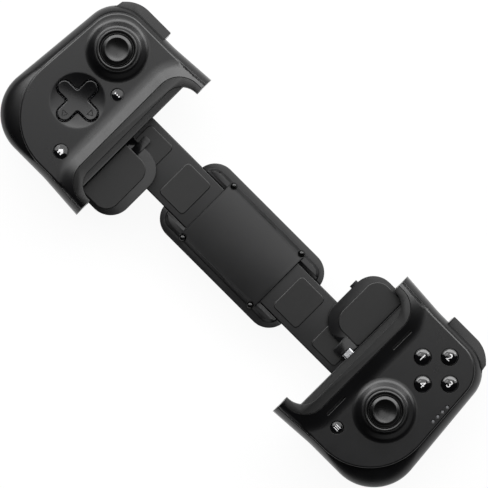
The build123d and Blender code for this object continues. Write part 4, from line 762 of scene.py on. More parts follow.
def collar(points, centre):
    """The collar that the stick stands in, with its mouth."""
    out = from_middle(points, centre)
    climbed = (COLLAR_FOOT_R - out) / (COLLAR_FOOT_R - COLLAR_TOP_R)
    mouth = np.clip((MOUTH_R - out) / MOUTH_RUN, 0, 1)
    return COLLAR_RISE * eased_rise(climbed, COLLAR_FOOT, COLLAR_BROW) - MOUTH_DROP * mouth


def bowl(points):
    """The round dish under the cross pad, part of a ball."""
    ball = (BOWL_R**2 + BOWL_DEPTH**2) / (2 * BOWL_DEPTH)
    out = np.minimum(from_middle(points, CROSS), BALL_SHARE * ball)
    under = BOWL_DEPTH - (ball - np.sqrt(ball**2 - out**2))
    return -(under + np.sqrt(under**2 + BOWL_SOFT)) / 2


def land(points):
    """The narrow slope along the plate's outer edge."""
    short = np.maximum(LAND_MM - nearest_on(points, outer_line)[0], 0)
    return -LAND_TILT * (short - LAND_BLEND * (1 - np.exp(-short / LAND_BLEND)))


def face_height(points, side):
    """The height of one grip's face plate."""
    height = FACE_Z + ramp(points) + collar(points, STICKS[side])
    if side == "left":
        height = height + bowl(points)
    return height + land(points)


print("height at the bezel", round(face_height(np.array([[BEZEL_X, 0.0]]), "right")[0], 2))

# %% [markdown]
# Each control comes up through its own hole, a little wider than it is. The cross pad's hole is a plus with
# round ends, the vents are slits, and the four status lights are small round holes in a row.

# %% Holes in the face plates
BUTTON_GAP, STICK_HOLE_R, SMALL_STEP, FACE_STEP, CROSS_STEP = 0.3, 8.6, 0.4, 0.45, 0.5
LIGHT_X, LIGHT_TOP_Y, LIGHT_R, LIGHT_PITCH, LIGHT_STEP = 127.75, 15.3, 0.7, 3.3, 0.25
CROSS_HOLE_SPAN, CROSS_HOLE_ARM, CROSS_HOLE_R, ROUND_END = 26.0, 8.0, 1.2, 0.995
VENT_X, VENT_Y, VENT_R, VENT_STEP = (88.15, 89.05), (16.65, 29.15), 0.3, 0.6


def box_loop(x0, y0, x1, y1, radius, step):
    """A box with round corners."""
    return rounded_loop([(x0, y0, radius), (x1, y0, radius), (x1, y1, radius), (x0, y1, radius)], step)


def cross_loop(span, arm, inner):
    """A plus about the cross pad's middle, with round ends and rounded inner corners."""
    half, end = arm / 2, span / 2
    corners, tip_r = [], half * ROUND_END
    for quarter in range(4):
        turn = quarter * math.pi / 2
        for x, y, radius in [(end, -half, tip_r), (end, half, tip_r), (half, half, inner)]:
            spun = (x * math.cos(turn) - y * math.sin(turn), x * math.sin(turn) + y * math.cos(turn))
            corners.append((spun[0] + CROSS[0], spun[1] + CROSS[1], radius))
    return rounded_loop(corners, CROSS_STEP)


face_buttons = [(FACE_BUTTONS[0] + PITCH * x, FACE_BUTTONS[1] + PITCH * y) for x, y in COMPASS]
lights = [(LIGHT_X, LIGHT_TOP_Y - LIGHT_PITCH * i) for i in range(4)]
vents = [(VENT_X[0], y0, VENT_X[1], y1) for y0, y1 in (VENT_Y, (-VENT_Y[1], -VENT_Y[0]))]
holes = {
    "left": [
        cross_loop(CROSS_HOLE_SPAN, CROSS_HOLE_ARM, CROSS_HOLE_R),
        ring(DOTS, SMALL_R + BUTTON_GAP, SMALL_STEP),
        ring(HOME, HOME_R + BUTTON_GAP, SMALL_STEP),
    ],
    "right": [
        *[ring(spot, FACE_BUTTON_R + BUTTON_GAP, FACE_STEP) for spot in face_buttons],
        ring(BARS, SMALL_R + BUTTON_GAP, SMALL_STEP),
        *[ring(spot, LIGHT_R, LIGHT_STEP) for spot in lights],
        *[box_loop(*vent, VENT_R, VENT_STEP) for vent in vents],
    ],
}
print("holes beside the stick's", {side: len(loops) for side, loops in holes.items()})

# %% [markdown]
# A triangle mesh follows a bend only where its points do. So lines of points are laid along every bend of the
# top: along the ramp at growing distances, round the collar and the dish, and on both sides of where the
# slope at the edge starts.

# %% Guide lines, and the two face plates
RAMP_LINES = (0.8, 1.6, 2.4, 3.4, 4.4, 5.6, 7.0, 8.4, 9.5)
COLLAR_RINGS = (8.9, 9.3, 9.75, 10.2, 10.6, 11.0, 11.5, 12.2, 13, 13.8, 14.6, 15.5, 16.4)
BOWL_RINGS = (13.2, 13.55, 13.7, 13.85, 14.2)
LAND_LINES = (0.45, 0.6, 0.75, 0.88, 1.1)
RING_STEP, RAMP_STEP, EDGE_MM, FACE_GRID_MM = 0.8, 1.0, 0.35, 1.1


def bezel_line(gap):
    """Points along the ramp at one distance from the bezel."""
    start, end_x, end_y, radius = TIP_X - 2, BEZEL_X + gap, BEZEL_Y + gap, BEZEL_R + gap
    corners = [(start, -end_y, 0), (end_x, -end_y, radius), (end_x, end_y, radius), (start, end_y, 0)]
    return rounded_loop(corners, RAMP_STEP)


inward = inward_of(face_loop)
ramp_guides = [bezel_line(gap) for gap in RAMP_LINES]
bowl_guides = [ring(CROSS, radius, RING_STEP) for radius in BOWL_RINGS]
land_guides = [face_loop + inward * gap * way for gap in LAND_LINES for way in (1, -1)]
for side, sign in SIDES.items():
    loops = [face_loop, ring(STICKS[side], STICK_HOLE_R), *holes[side]]
    guides = ramp_guides + [ring(STICKS[side], radius, RING_STEP) for radius in COLLAR_RINGS]
    guides += bowl_guides * (side == "left") + land_guides
    name, height = f"{side}_face_plate", lambda points: face_height(points, side)
    cover = plate(name, loops, height, SHELL_Z, sign, EDGE_MM, FACE_GRID_MM, guides)
    settle(cover, smooth_pc_abs, f"{side}_grip", "cover_plastic", f"{side}_front_cover")

# %% [markdown]
# ## Rear shells
# The CAD back is drawn in straight steps between a few outlines. The mould's walls curve the whole way: round
# under the palm like a stretched ellipse, and in again towards the face plate. So the CAD shell, with all its
# holes, is cut at many more heights, each point of its outside is moved onto the curve, and the curve's own
# normals are used there. Six corners describe the outline at any height, and they slide between two sets.

# %% The outlines that a grip passes through
RIM_LEDGE, JAW_R = 0.5, 4.0
JAW_Y = SIDE_TIP_Y - (SIDE_TIP_Y - SIDE_Y) * (LIP_X - TIP_X) / (WAIST_X - TIP_X)
side_corners = [
    (TIP_X, SIDE_TIP_Y, 0),
    (WAIST_X, SIDE_Y, WAIST_R),
    (SIDE_TOP_X, SIDE_Y, SIDE_TOP_R),
    (SIDE_LOW_X, -SIDE_Y, SIDE_LOW_R),
    (WAIST_X, -SIDE_Y, WAIST_R),
    (TIP_X, -SIDE_TIP_Y, 0),
]
rim_top, rim_tip = FACE_Y + RIM_LEDGE, FACE_TIP_Y + RIM_LEDGE
rim_corners = [
    (TIP_X, rim_tip, 0),
    (WAIST_X, rim_top, WAIST_R),
    (FACE_TOP_X + RIM_LEDGE, rim_top, FACE_TOP_R + RIM_LEDGE),
    (FACE_LOW_X + RIM_LEDGE, -rim_top, FACE_LOW_R + RIM_LEDGE),
    (WAIST_X, -rim_top, WAIST_R),
    (TIP_X, -rim_tip, 0),
]
back_corners = [(LIP_X, JAW_Y, JAW_R), *side_corners[1:5], (LIP_X, -JAW_Y, JAW_R)]
palm_corners = [
    (98, 7, 3),
    (104, 6.4, WAIST_R),
    (118, 6.4, 8),
    (121, -30, 10),
    (104, -30, WAIST_R),
    (98, -30.6, 3),
]


print("the jaw's corner lies at Y", round(JAW_Y, 2))

# %% [markdown]
# How far the outline has slid from one set to the other is a curve of the height. The CAD follows a like
# curve in a few straight steps. Both can be asked for: the steps tell which points lie on the outside, and
# the curve how far each has to move.

# %% The outside of a grip at any height
BAND_Z, SAME_Z, BACK_FULLNESS, CAD_FULLNESS, LOOK_FULLNESS = 23.0, 0.001, 2.4, 0.9, 0.8
FLARE_STEPS, BACK_STEPS = np.array([0, 0.5, 0.8, 1]), np.array([0, 0.06, 0.15, 0.27, 0.44, 0.68, 1])


def flare_share(share, fullness):
    """How far the side wall has come in at a share of its height."""
    return (1 - np.sqrt(1 - (fullness * share) ** 2)) / (1 - math.sqrt(1 - fullness**2))


def back_share(share):
    """How far the back has come in: 0 at the sides, 1 at the flat pad."""
    return 1 - np.maximum(1 - (1 - share) ** BACK_FULLNESS, 0) ** (1 / BACK_FULLNESS)


def corners_at(heights, stepped):
    """Six corners (x, y, radius) round a grip for each height, as the CAD steps them or on the full curve."""
    above = heights > REST_Z - SAME_Z
    share = np.where(above, np.maximum(heights - BAND_Z, 0) / (SHELL_Z - BAND_Z), heights / REST_Z)
    if stepped:
        flare = np.interp(share, FLARE_STEPS, flare_share(FLARE_STEPS, CAD_FULLNESS))
        inset = np.where(above, flare, np.interp(share, BACK_STEPS, back_share(BACK_STEPS)))
    else:
        inset = np.where(above, flare_share(share, LOOK_FULLNESS), back_share(share))
    high, low = np.array([side_corners, rim_corners], float), np.array([back_corners, palm_corners], float)
    start, end = (np.where(above[:, None, None], high[i], low[i]) for i in range(2))
    return start + (end - start) * inset[:, None, None]


print("corners at 10 mm up", corners_at(np.array([10.0]), False)[0].round(1).tolist())

# %% [markdown]
# The next function measures from such an outline, and this time every point has an outline of its own,
# because each lies at its own height. The wall is made of straight runs and arcs, and the nearest of them
# counts.


# %% Distance and direction from the wall
def unit(ways):
    """The same directions, one long."""
    return ways / np.maximum(np.linalg.norm(ways, axis=-1, keepdims=True), TINY)


def wall_at(points, corners):
    """Distance outside a line through round corners, one line for each point, and its outward normal."""
    spots, radii = corners[..., :2], corners[..., 2]
    ahead = unit(np.roll(spots, -1, 1) - spots)
    back = -np.roll(ahead, 1, 1)
    half = np.arccos(np.clip((back * ahead).sum(2), -1, 1)) / 2
    cut = (radii / np.tan(half))[..., None]
    middle = spots + unit(back + ahead) * (radii / np.sin(half))[..., None]
    leave, arrive = spots + ahead * cut, np.roll(spots + back * cut, -1, 1)
    from_run = points[:, None] - leave
    along = np.clip((from_run * ahead).sum(2), 0, np.linalg.norm(arrive - leave, axis=2))
    off = from_run - along[..., None] * ahead
    run_out = np.stack([-ahead[..., 1], ahead[..., 0]], 2)
    run_gap = np.linalg.norm(off, axis=2) * np.where((off * run_out).sum(2) < 0, -1, 1)
    from_arc = points[:, None] - middle
    bulge = np.where(back[..., 0] * ahead[..., 1] - back[..., 1] * ahead[..., 0] > 0, 1, -1)
    in_sweep = (unit(from_arc) * unit(spots - middle)).sum(2) >= np.sin(half)
    arc_gap = np.where(in_sweep & (radii > 0), (np.linalg.norm(from_arc, axis=2) - radii) * bulge, FAR_MM)
    gaps = np.concatenate([run_gap, arc_gap], 1)
    ways = np.concatenate([run_out, unit(from_arc) * bulge[..., None]], 1)
    pick, rows = np.abs(gaps).argmin(1), np.arange(len(points))
    return gaps[rows, pick], ways[rows, pick]


print("30 mm inside a grip", wall_at(np.array([[110.0, 0.0]]), corners_at(np.array([22.0]), False))[0])

# %% [markdown]
# Now the shell itself. Only points that lie on the CAD's outside are moved; posts, ribs and the trigger's
# well stay. A face keeps its own flat normal where it turns away from the curve by more than some 30 degrees,
# as at a hole.

# %% Curve the shells and lay their normals
CUTS = [REST_Z * s for s in (0.022, 0.04, 0.08, 0.11, 0.19, 0.23, 0.31, 0.37, 0.5, 0.58, 0.76, 0.87)]
CUTS += [BAND_Z + (SHELL_Z - BAND_Z) * s for s in (0.12, 0.25, 0.38, 0.6, 0.7, 0.9)]
TINY_Z, ON_SKIN, ON_FLOOR, SMOOTH_DOT = 0.03, 0.02, 0.01, math.cos(math.radians(33))
WELD_M, CUT_NEAR_M = 1e-7, 1e-6


def cut_across(soft, spot, way, near):
    """Cuts every face that a plane through the spot goes through; the plane looks this way."""
    everything = soft.verts[:] + soft.edges[:] + soft.faces[:]
    bmesh.ops.bisect_plane(soft, geom=everything, plane_co=spot, plane_no=way, dist=near)


def curved_shell(side):
    """The CAD rear shell with its outside moved onto the curve."""
    sign, name = SIDES[side], f"{side}_rear_shell_curved"
    soft = merged(nodes[f"{side}_rear_shell"].data, WELD_M)
    for cut in CUTS:
        cut_across(soft, (0, 0, cut * MM), (0, 0, 1), CUT_NEAR_M)
    bmesh.ops.triangulate(soft, faces=soft.faces)
    mesh = bpy.data.meshes.new(name)
    soft.to_mesh(mesh)
    soft.free()
    spots = to_drawing([v.co for v in mesh.vertices], sign)
    flat, heights = spots[:, :2], spots[:, 2]
    skin = wall_at(flat, corners_at(heights, True))[0]
    curve, out_way = wall_at(flat, corners_at(heights, False))
    over, under = np.minimum(heights + TINY_Z, SHELL_Z), np.maximum(heights - TINY_Z, 0)
    gap_over, gap_under = (wall_at(flat, corners_at(z, False))[0] for z in (over, under))
    on_skin = np.abs(skin) < ON_SKIN
    smooth = unit(np.column_stack([out_way, (gap_over - gap_under) / (over - under)])) * on_skin[:, None]
    smooth[heights < ON_FLOOR] = (0, 0, -1)
    spots[on_skin, :2] -= out_way[on_skin] * curve[on_skin, None]
    smooth[:, 0] *= sign
    mesh.vertices.foreach_set("co", place(spots, sign).ravel())
    mesh.update()
    normals = []
    for face in mesh.polygons:
        for i in face.vertices:
            near = Vector(smooth[i])
            normals.append(near if near.dot(face.normal) > SMOOTH_DOT else face.normal.copy())
    mesh.shade_smooth()
    mesh.normals_split_custom_set(normals)
    print(name, "points", len(mesh.vertices), "moved", int(on_skin.sum()))
    return bpy.data.objects.new(name, mesh)


for side in SIDES:
    settle(curved_shell(side), satin_pc_abs, f"{side}_grip", "shell_plastic", f"{side}_rear_shell")

# %% [markdown]
# ## Turned pieces
# Stick caps and round buttons are the same all the way round, so each is half a section spun about its own
# axis. The section's corners are rounded before it is spun, because the mould's corners are.

# %% Spin a section
ON_AXIS_MM = 1e-5


def turned(name, corners, centre, sign, step=0.3, segments=96):
    """A closed piece from corners (radius, height, rounding), from the axis over the top and back below."""
    line = rounded_loop(corners, step)
    line = line[line[:, 0] > ON_AXIS_MM]
    turns = np.linspace(0, 2 * math.pi, segments, endpoint=False)
    points = [(centre[0] + r * math.cos(t), centre[1] + r * math.sin(t), z) for r, z in line for t in turns]
    points += [(*centre, corners[0][1]), (*centre, corners[-1][1])]
    top, under, last = len(points) - 2, len(points) - 1, (len(line) - 1) * segments
    faces = []
    for j in range(segments):
        k = (j + 1) % segments
        faces += [(top, j, k), (under, last + k, last + j)]
        for row in range(0, last, segments):
            faces.append((row + j, row + segments + j, row + segments + k, row + k))
    if sign < 0:
        faces = [face[::-1] for face in faces]
    mesh = bpy.data.meshes.new(name)
    mesh.from_pydata(place(points, sign).tolist(), [], faces)
    mesh.shade_smooth()
    return bpy.data.objects.new(name, mesh)


def arc_heights(edge_r, rise, radii):
    """How far a round dome or dish stands from its edge, at each radius."""
    ball = (edge_r**2 + rise**2) / (2 * rise)
    return [math.copysign(math.sqrt(ball**2 - r**2), rise) - ball + rise for r in radii]


print("a 1.1 mm dome at its middle", arc_heights(FACE_BUTTON_R, 1.1, [0])[0])

# %% [markdown]
# ## Rubber pads
# Each pad's top is flat and then leans down to its edge, where it turns sharply. Where that narrow slope
# looks at the lamp behind the object, it draws a bright line along the pad. The outlines come from the CAD:
# the highest flat faces of a node are found, and their outer edges followed round.

# %% Pads with a sloping edge
PAD_LAND_MM, PAD_TILT, PAD_EDGE_MM, PAD_STEP_MM, PAD_GRID_MM = 0.34, 0.46, 0.14, 1.5, 3.0
PAD_LINES, LEVEL_MM = (0.65, 1.25), 0.02


def top_outlines(node, sign):
    """The outlines of a node's highest flat faces, outermost first, and the heights of its top and foot."""
    soft = merged(nodes[node].data)
    soft.verts.index_update()
    soft.verts.ensure_lookup_table()
    heights = [v.co.z for v in soft.verts]
    high, low = max(heights), min(heights)
    tops = [face for face in soft.faces if min(v.co.z for v in face.verts) > high - LEVEL_MM * MM]
    top_set, following = set(tops), {}
    for face in tops:
        for corner in face.loops:
            if sum(other in top_set for other in corner.edge.link_faces) == 1:
                following[corner.vert.index] = corner.link_loop_next.vert.index
    loops = []
    while following:
        start, at = next(iter(following.items()))
        run = [start]
        while at != start:
            run.append(at)
            at = following.pop(at)
        following.pop(start)
        loops.append(to_drawing([soft.verts[i].co for i in run], sign)[::sign, :2])
    soft.free()
    loops.sort(key=lambda loop: -loop[:, 0].max())
    return loops, high / MM, low / MM


def stepped(loop, step):
    """The same outline with no stretch longer than the step."""
    fine = []
    for a, b in zip(loop, np.roll(loop, -1, 0)):
        pieces = max(1, round(float(np.linalg.norm(b - a)) / step))
        fine += [a + (b - a) * i / pieces for i in range(pieces)]
    return np.array(fine)


def pads(node, body, sign):
    """A node's pads, each with its sloping edge."""
    loops, top, foot = top_outlines(node, sign)
    for number, loop in enumerate(loops, 1):
        line = stepped(loop, PAD_STEP_MM)

        def height(points):
            """The flat top, leaning down near the pad's edge."""
            return top - PAD_TILT * np.clip(PAD_LAND_MM - nearest_on(points, line)[0], 0, PAD_LAND_MM)

        guides = [line + inward_of(line) * (PAD_LAND_MM * share) for share in PAD_LINES]
        name = f"{node}_{number}_moulded"
        piece = plate(name, [line], height, foot, sign, PAD_EDGE_MM, PAD_GRID_MM, guides)
        settle(piece, rubber_pad, body, "pad_rubber", *([node] if number == 1 else []))


for side, sign in SIDES.items():
    pads(f"{side}_strap_pads", f"{side}_strap", sign)
    pads(f"{side}_phone_rest_pad", body_of(f"{side}_phone_rest_pad"), sign)

# %% [markdown]
# ## Thumb sticks
# A cap is one silicone moulding: a dished top inside a raised ring, a groove, a thin outer lip that the
# thumb's side rests on, a neck, and a dust skirt that hides the hole in the face. The skirt is part of a ball
# about the stick's pivot, so that it clears the collar however the stick leans.

# %% Stick caps
PIVOT_Z, SKIRT_R, SKIRT_INSIDE_R, SKIRT_POINTS = 26.5, 9.2, 8.6, 10
DISH_R, DISH_DEPTH, DISH_REACH, DISH_POINTS, RING_TOP = 5.75, 1.2, 5.2, 14, 41.9


def skirt(radius, start, end):
    """Section corners on a ball about the pivot, between two angles from straight up."""
    turns = np.radians(np.linspace(start, end, SKIRT_POINTS))
    return [(radius * math.sin(a), PIVOT_Z + radius * math.cos(a), 0) for a in turns]


dish_radii = np.linspace(0, DISH_REACH, DISH_POINTS)
dish = [(r, RING_TOP - z, 0) for r, z in zip(dish_radii, arc_heights(DISH_R, DISH_DEPTH, dish_radii))]
cap_corners = [
    *dish,
    (5.85, RING_TOP, 0.5),
    (7.35, 41.15, 0.45),
    (7.7, 40.0, 0.3),
    (8.1, 38.95, 0.3),
    (8.75, 40.35, 0.3),
    (9.35, 40.8, 0.9),
    (10.3, 40.2, 0.3),
    (10.2, 39.6, 0.25),
    (9.2, 38.6, 0.4),
    (4.0, 37.6, 1.2),
    (4.0, 35.0, 0.5),
    *skirt(SKIRT_R, 27.5, 54),
    *skirt(SKIRT_INSIDE_R, 54, 24),
    (3.2, 34.3, 0.2),
    (3.2, 31.5, 0.2),
    (1.6, 31.5, 0),
    (1.6, 36.5, 0),
    (0, 36.5, 0),
]
for side, centre in STICKS.items():
    cap = turned(f"{side}_stick_cap_moulded", cap_corners, centre, SIDES[side])
    settle(cap, silicone_cap, f"{side}_stick", "cap_rubber", f"{side}_stick_cap")
    print(cap.name, "size in mm", [round(v / MM, 1) for v in cap.dimensions])

# %% [markdown]
# ## Buttons and their legends
# Each button is a polished dome with a small soft edge, on a flange that keeps it in the case. The legends
# are pad printed: a soft pad lays a film of ink on the dome, which is why they follow its curve. Here a flat
# drawing is cut into small facets, laid on the dome and given a little thickness. Plain numerals stand on the
# four face buttons.

# %% Ink laid on a dome
INK_PROUD, INK_SUNK, INK_REACH, INK_CUT = 0.03, 0.06, 3.2, 0.4
INK_MERGE, INK_CUT_NEAR, LEAST_AREA = 0.002, 1e-4, 1e-7


def around(spots, face):
    """Twice the area that a flat face goes round: positive when it runs counter-clockwise."""
    loop = [spots[i] for i in face]
    return sum(a[0] * b[1] - b[0] * a[1] for a, b in zip(loop, loop[1:] + loop[:1]))


def filled(name, drawing):
    """The flat mesh that Blender fills a drawing with."""
    holder = bpy.data.objects.new(name, drawing)
    bpy.context.scene.collection.objects.link(holder)
    bpy.context.view_layer.update()
    graph = bpy.context.evaluated_depsgraph_get()
    mesh = bpy.data.meshes.new_from_object(holder.evaluated_get(graph))
    bpy.data.objects.remove(holder)
    return mesh


def inked(name, drawing, centre, height, sign, body):
    """A printed sign from a flat drawing in mm about the button's middle, laid on the dome height(radius)."""
    mesh = filled(name, drawing)
    soft = merged(mesh, INK_MERGE)
    bpy.data.meshes.remove(mesh)
    for across in (Vector((1, 0, 0)), Vector((0, 1, 0))):
        for cut in np.arange(-INK_REACH, INK_REACH + 0.1, INK_CUT):
            cut_across(soft, across * cut, across, INK_CUT_NEAR)
    soft.verts.index_update()
    flat = [(v.co.x, v.co.y) for v in soft.verts]
    faces = [[v.index for v in face.verts] for face in soft.faces if face.calc_area() > LEAST_AREA]
    faces = [face if around(flat, face) > 0 else face[::-1] for face in faces]
    soft.free()
    heights = [height(math.hypot(*spot)) for spot in flat]
    points = [(centre[0] * sign + x, centre[1] + y, z + INK_PROUD) for (x, y), z in zip(flat, heights)]
    points += [(x, y, z - INK_PROUD - INK_SUNK) for x, y, z in points]
    made = bpy.data.meshes.new(name)
    made.from_pydata(place(points).tolist(), [], closed(faces, len(flat)))
    return settle(bpy.data.objects.new(name, made), legend_ink, body, "button_plastic")


print("the ink stands proud by mm", INK_PROUD)

# %% [markdown]
# The signs themselves are flat drawings. The numerals use the plain type that Blender brings with it, and the
# three small signs are closed lines, filled.

# %% Signs as flat drawings
CAPITAL_SHARE, TYPE_STEPS, SIGN_STEP, DOT_R, BAR_R = 0.73, 6, 0.3, 0.38, 0.12


def drawn_sign(name, loops):
    """A filled flat curve from closed lines."""
    sign = bpy.data.curves.new(name, "CURVE")
    sign.dimensions, sign.fill_mode = "2D", "BOTH"
    for loop in loops:
        line = sign.splines.new("POLY")
        line.points.add(len(loop) - 1)
        for point, spot in zip(line.points, loop):
            point.co = (*spot, 0, 1)
        line.use_cyclic_u = True
    return sign


def numeral(name, text, height_mm):
    """A filled flat numeral of this height, with its middle at the origin."""
    sign = bpy.data.curves.new(name, "FONT")
    sign.body = text
    sign.size = height_mm / CAPITAL_SHARE
    sign.align_x = "CENTER"
    sign.offset_y = -height_mm / 2
    sign.resolution_u = TYPE_STEPS
    return sign


house_corners = [
    (-1.75, -0.1, 0.1),
    (0, 1.6, 0.1),
    (1.75, -0.1, 0.1),
    (1.2, -0.1, 0.05),
    (1.2, -1.45, 0.1),
    (0.42, -1.45, 0.05),
    (0.42, -0.5, 0.05),
    (-0.42, -0.5, 0.05),
    (-0.42, -1.45, 0.05),
    (-1.2, -1.45, 0.1),
    (-1.2, -0.1, 0.05),
]
house = [rounded_loop(house_corners, SIGN_STEP)]
dots = [ring((x, 0), DOT_R, 0.12) for x in (-1.25, 0, 1.25)]
bars = [box_loop(-1.35, y - 0.18, 1.35, y + 0.18, BAR_R, SIGN_STEP) for y in (-0.95, 0, 0.95)]
print("signs drawn", len(house) + len(dots) + len(bars))

# %% [markdown]
# A button's section runs from the middle of its dome over the soft edge, down its side, out to the flange and
# back under to the axis. The dome is part of a ball, and the ink asks it for its height at any radius.

# %% Turn the buttons
BUTTON_PROUD, EDGE_DROP, DOME_INSET, DOME_END, INK_END = 0.6, 0.08, 0.02, 0.32, 0.3
FLANGE_OUT, FLANGE_TOP, FLANGE_FOOT, STEM_R, STEM_FOOT = 1, 30.2, 29.3, 2.0, 26.6
FACE_DOME_RISE, SMALL_DOME_RISE, NUMERAL_MM, DOME_POINTS = 1.1, 0.5, 3.7, 9


def dome_button(node, centre, radius, rise, sign):
    """A round button with a domed top and its hidden flange; returns the height of its dome."""
    edge_z, ball_r = FACE_Z + BUTTON_PROUD, radius - DOME_INSET
    radii = np.linspace(0, radius - DOME_END, DOME_POINTS)
    corners = [(r, edge_z + z, 0) for r, z in zip(radii, arc_heights(ball_r, rise, radii))]
    corners += [
        (radius, edge_z + EDGE_DROP, 0.3),
        (radius, FLANGE_TOP, 0.05),
        (radius + FLANGE_OUT, FLANGE_TOP, 0.1),
        (radius + FLANGE_OUT, FLANGE_FOOT, 0.1),
        (STEM_R, FLANGE_FOOT, 0.1),
        (STEM_R, STEM_FOOT, 0.1),
        (0, STEM_FOOT, 0),
    ]
    piece = turned(f"{node}_polished", corners, centre, sign, step=0.25, segments=72)
    settle(piece, acrylic_button, node, "button_plastic", node)
    return lambda r: edge_z + arc_heights(ball_r, rise, [min(r, radius - INK_END)])[0]


for number, spot in enumerate(face_buttons, 1):
    node = f"right_face_button_{number}"
    dome = dome_button(node, spot, FACE_BUTTON_R, FACE_DOME_RISE, 1)
    inked(f"{node}_numeral", numeral(f"{node}_numeral", str(number), NUMERAL_MM), spot, dome, 1, node)
for node, spot, radius, sign, loops in [
    ("left_dots_button", DOTS, SMALL_R, -1, dots),
    ("left_home_button", HOME, HOME_R, -1, house),
    ("right_bars_button", BARS, SMALL_R, 1, bars),
]:
    dome = dome_button(node, spot, radius, SMALL_DOME_RISE, sign)
    inked(f"{node}_sign", drawn_sign(f"{node}_sign", loops), spot, dome, sign, node)

# %% [markdown]
# ## Cross pad
# The cross pad is dished like a very large ball had been pressed into it. Its edge is polished round, and a
# fine engraved triangle on two of its arms points outward.

# %% Cross pad with engraved triangles
PAD_TOP, PAD_DIP, PAD_DISH_R, PAD_FLOOR, PAD_ROUND_MM, PAD_POINTS_MM = 34.1, 1.3, 60.7, 29.8, 0.65, 0.8
PAD_SPAN, PAD_ARM, PAD_INNER_R = 25.0, 7.0, 1.0
MARK_START, MARK_END, MARK_HALF = 8.3, 10.7, 1.6
CUT_DEPTH, CUT_SHARE, CUT_HALF, CUT_LINES = 0.34, 1.4, 0.2, (-0.3, -0.15, 0, 0.15, 0.3)
CUT_SPOTS = np.linspace(0, 1, 18)


def segment_gap(points, a, b):
    """Distance to a straight stroke between two points."""
    a, b = np.array(a, float), np.array(b, float)
    along = np.clip(((points - a) @ (b - a)) / ((b - a) @ (b - a)), 0, 1)
    return np.linalg.norm(points - a - along[:, None] * (b - a), axis=1)


def triangle(way):
    """Corners of the triangle on the arm that points this way."""
    way = np.array(way, float)
    across = np.array([-way[1], way[0]])
    corners = (MARK_START, MARK_HALF), (MARK_START, -MARK_HALF), (MARK_END, 0)
    return [np.array(CROSS) + way * out + across * wide for out, wide in corners]


pad_strokes = [(t[i - 1], t[i]) for t in (triangle((0, -1)), triangle((-1, 0))) for i in range(3)]


def pad_height(points):
    """The dished top with its engraved strokes."""
    ball = np.sqrt(PAD_DISH_R**2 - from_middle(points, CROSS) ** 2)
    cut = np.min([segment_gap(points, a, b) for a, b in pad_strokes], 0)
    engraved = CUT_DEPTH * np.clip(CUT_SHARE - cut / CUT_HALF, 0, 1)
    return PAD_TOP - PAD_DIP + PAD_DISH_R - ball - engraved


stroke_guides = []
for a, b in pad_strokes:
    run = (b - a) / np.linalg.norm(b - a)
    sideways = np.array([-run[1], run[0]])
    for gap in CUT_LINES:
        stroke_guides.append(np.array([a + (b - a) * s + sideways * gap for s in CUT_SPOTS]))
pad_loop = cross_loop(PAD_SPAN, PAD_ARM, PAD_INNER_R)[::-1]
cross_top = plate(
    "left_cross_pad_dished", [pad_loop], pad_height, PAD_FLOOR, -1, PAD_ROUND_MM, PAD_POINTS_MM, stroke_guides
)
settle(cross_top, cross_plastic, "left_cross_pad", "button_plastic", "left_cross_pad")

# %% [markdown]
# ## Camera
# The photograph looks square at the face with the controller turned 45 degrees, from so far off that all
# lines stay parallel. A long lens at 2.4 m does that.

# %% Camera square to the face
FRAME_WIDTH_MM, DISTANCE_MM, SENSOR_MM, AIM_MM, TURN = 240.4, 2400.0, 36.0, 0.12, 45
lens = bpy.data.cameras.new("camera")
lens.sensor_width = SENSOR_MM
lens.lens = SENSOR_MM * DISTANCE_MM / FRAME_WIDTH_MM
camera = bpy.data.objects.new("camera", lens)
bpy.context.scene.collection.objects.link(camera)
camera.location = (AIM_MM * MM, AIM_MM * MM, (FACE_Z + DISTANCE_MM) * MM)
camera.rotation_euler = (0, 0, math.radians(TURN))
bpy.context.scene.camera = camera
print("lens in mm", round(lens.lens, 1))

# %% [markdown]
# ## Floor and light
# The object lies on plain white paper. To the camera and in mirror images, nearly all of the paper's white is
# its own light, so that shadows hardly grey it. To all other rays it is matt paper, which throws light back
# up.

# %% White floor
FLOOR_REACH, FLOOR_Z, WHITE_SHARE = 6.0, -0.0002, 0.93
paper, tree, out = new_material("Paper_white_backdrop")
path = add(tree, "ShaderNodeLightPath").outputs
seen = maths(tree, "MAXIMUM", path["Is Camera Ray"], path["Is Glossy Ray"])
seen = maths(tree, "MAXIMUM", seen, path["Is Transmission Ray"])
matt = add(tree, "ShaderNodeBsdfDiffuse", {"Color": colour("#f2f2f2")}).outputs["BSDF"]
white = add(tree, "ShaderNodeEmission", {"Color": (1, 1, 1, 1), "Strength": 1.0}).outputs["Emission"]
both = add(tree, "ShaderNodeMixShader", {0: maths(tree, "MULTIPLY", seen, WHITE_SHARE), 1: matt, 2: white})
tree.links.new(both.outputs["Shader"], out.inputs["Surface"])
floor_mesh = bpy.data.meshes.new("floor")
floor_corners = [(FLOOR_REACH * x, FLOOR_REACH * y, 0) for x, y in ((-1, -1), (1, -1), (1, 1), (-1, 1))]
floor_mesh.from_pydata(floor_corners, [], [(0, 1, 2, 3)])
floor_mesh.materials.append(paper)
floor = bpy.data.objects.new("floor", floor_mesh)
floor.location = (0, 0, FLOOR_Z)
bpy.context.scene.collection.objects.link(floor)
print("floor reaches out by m", FLOOR_REACH)

# %% [markdown]
# Black plastic shows only what it mirrors, so the lamps are the picture: a large softbox hangs overhead with
# its edge right above the object, a wide bank leans in behind it, towards the top of the picture, and smaller
# ones stand at the left and the right. Dishes and domes then go from dark to light across their middle.


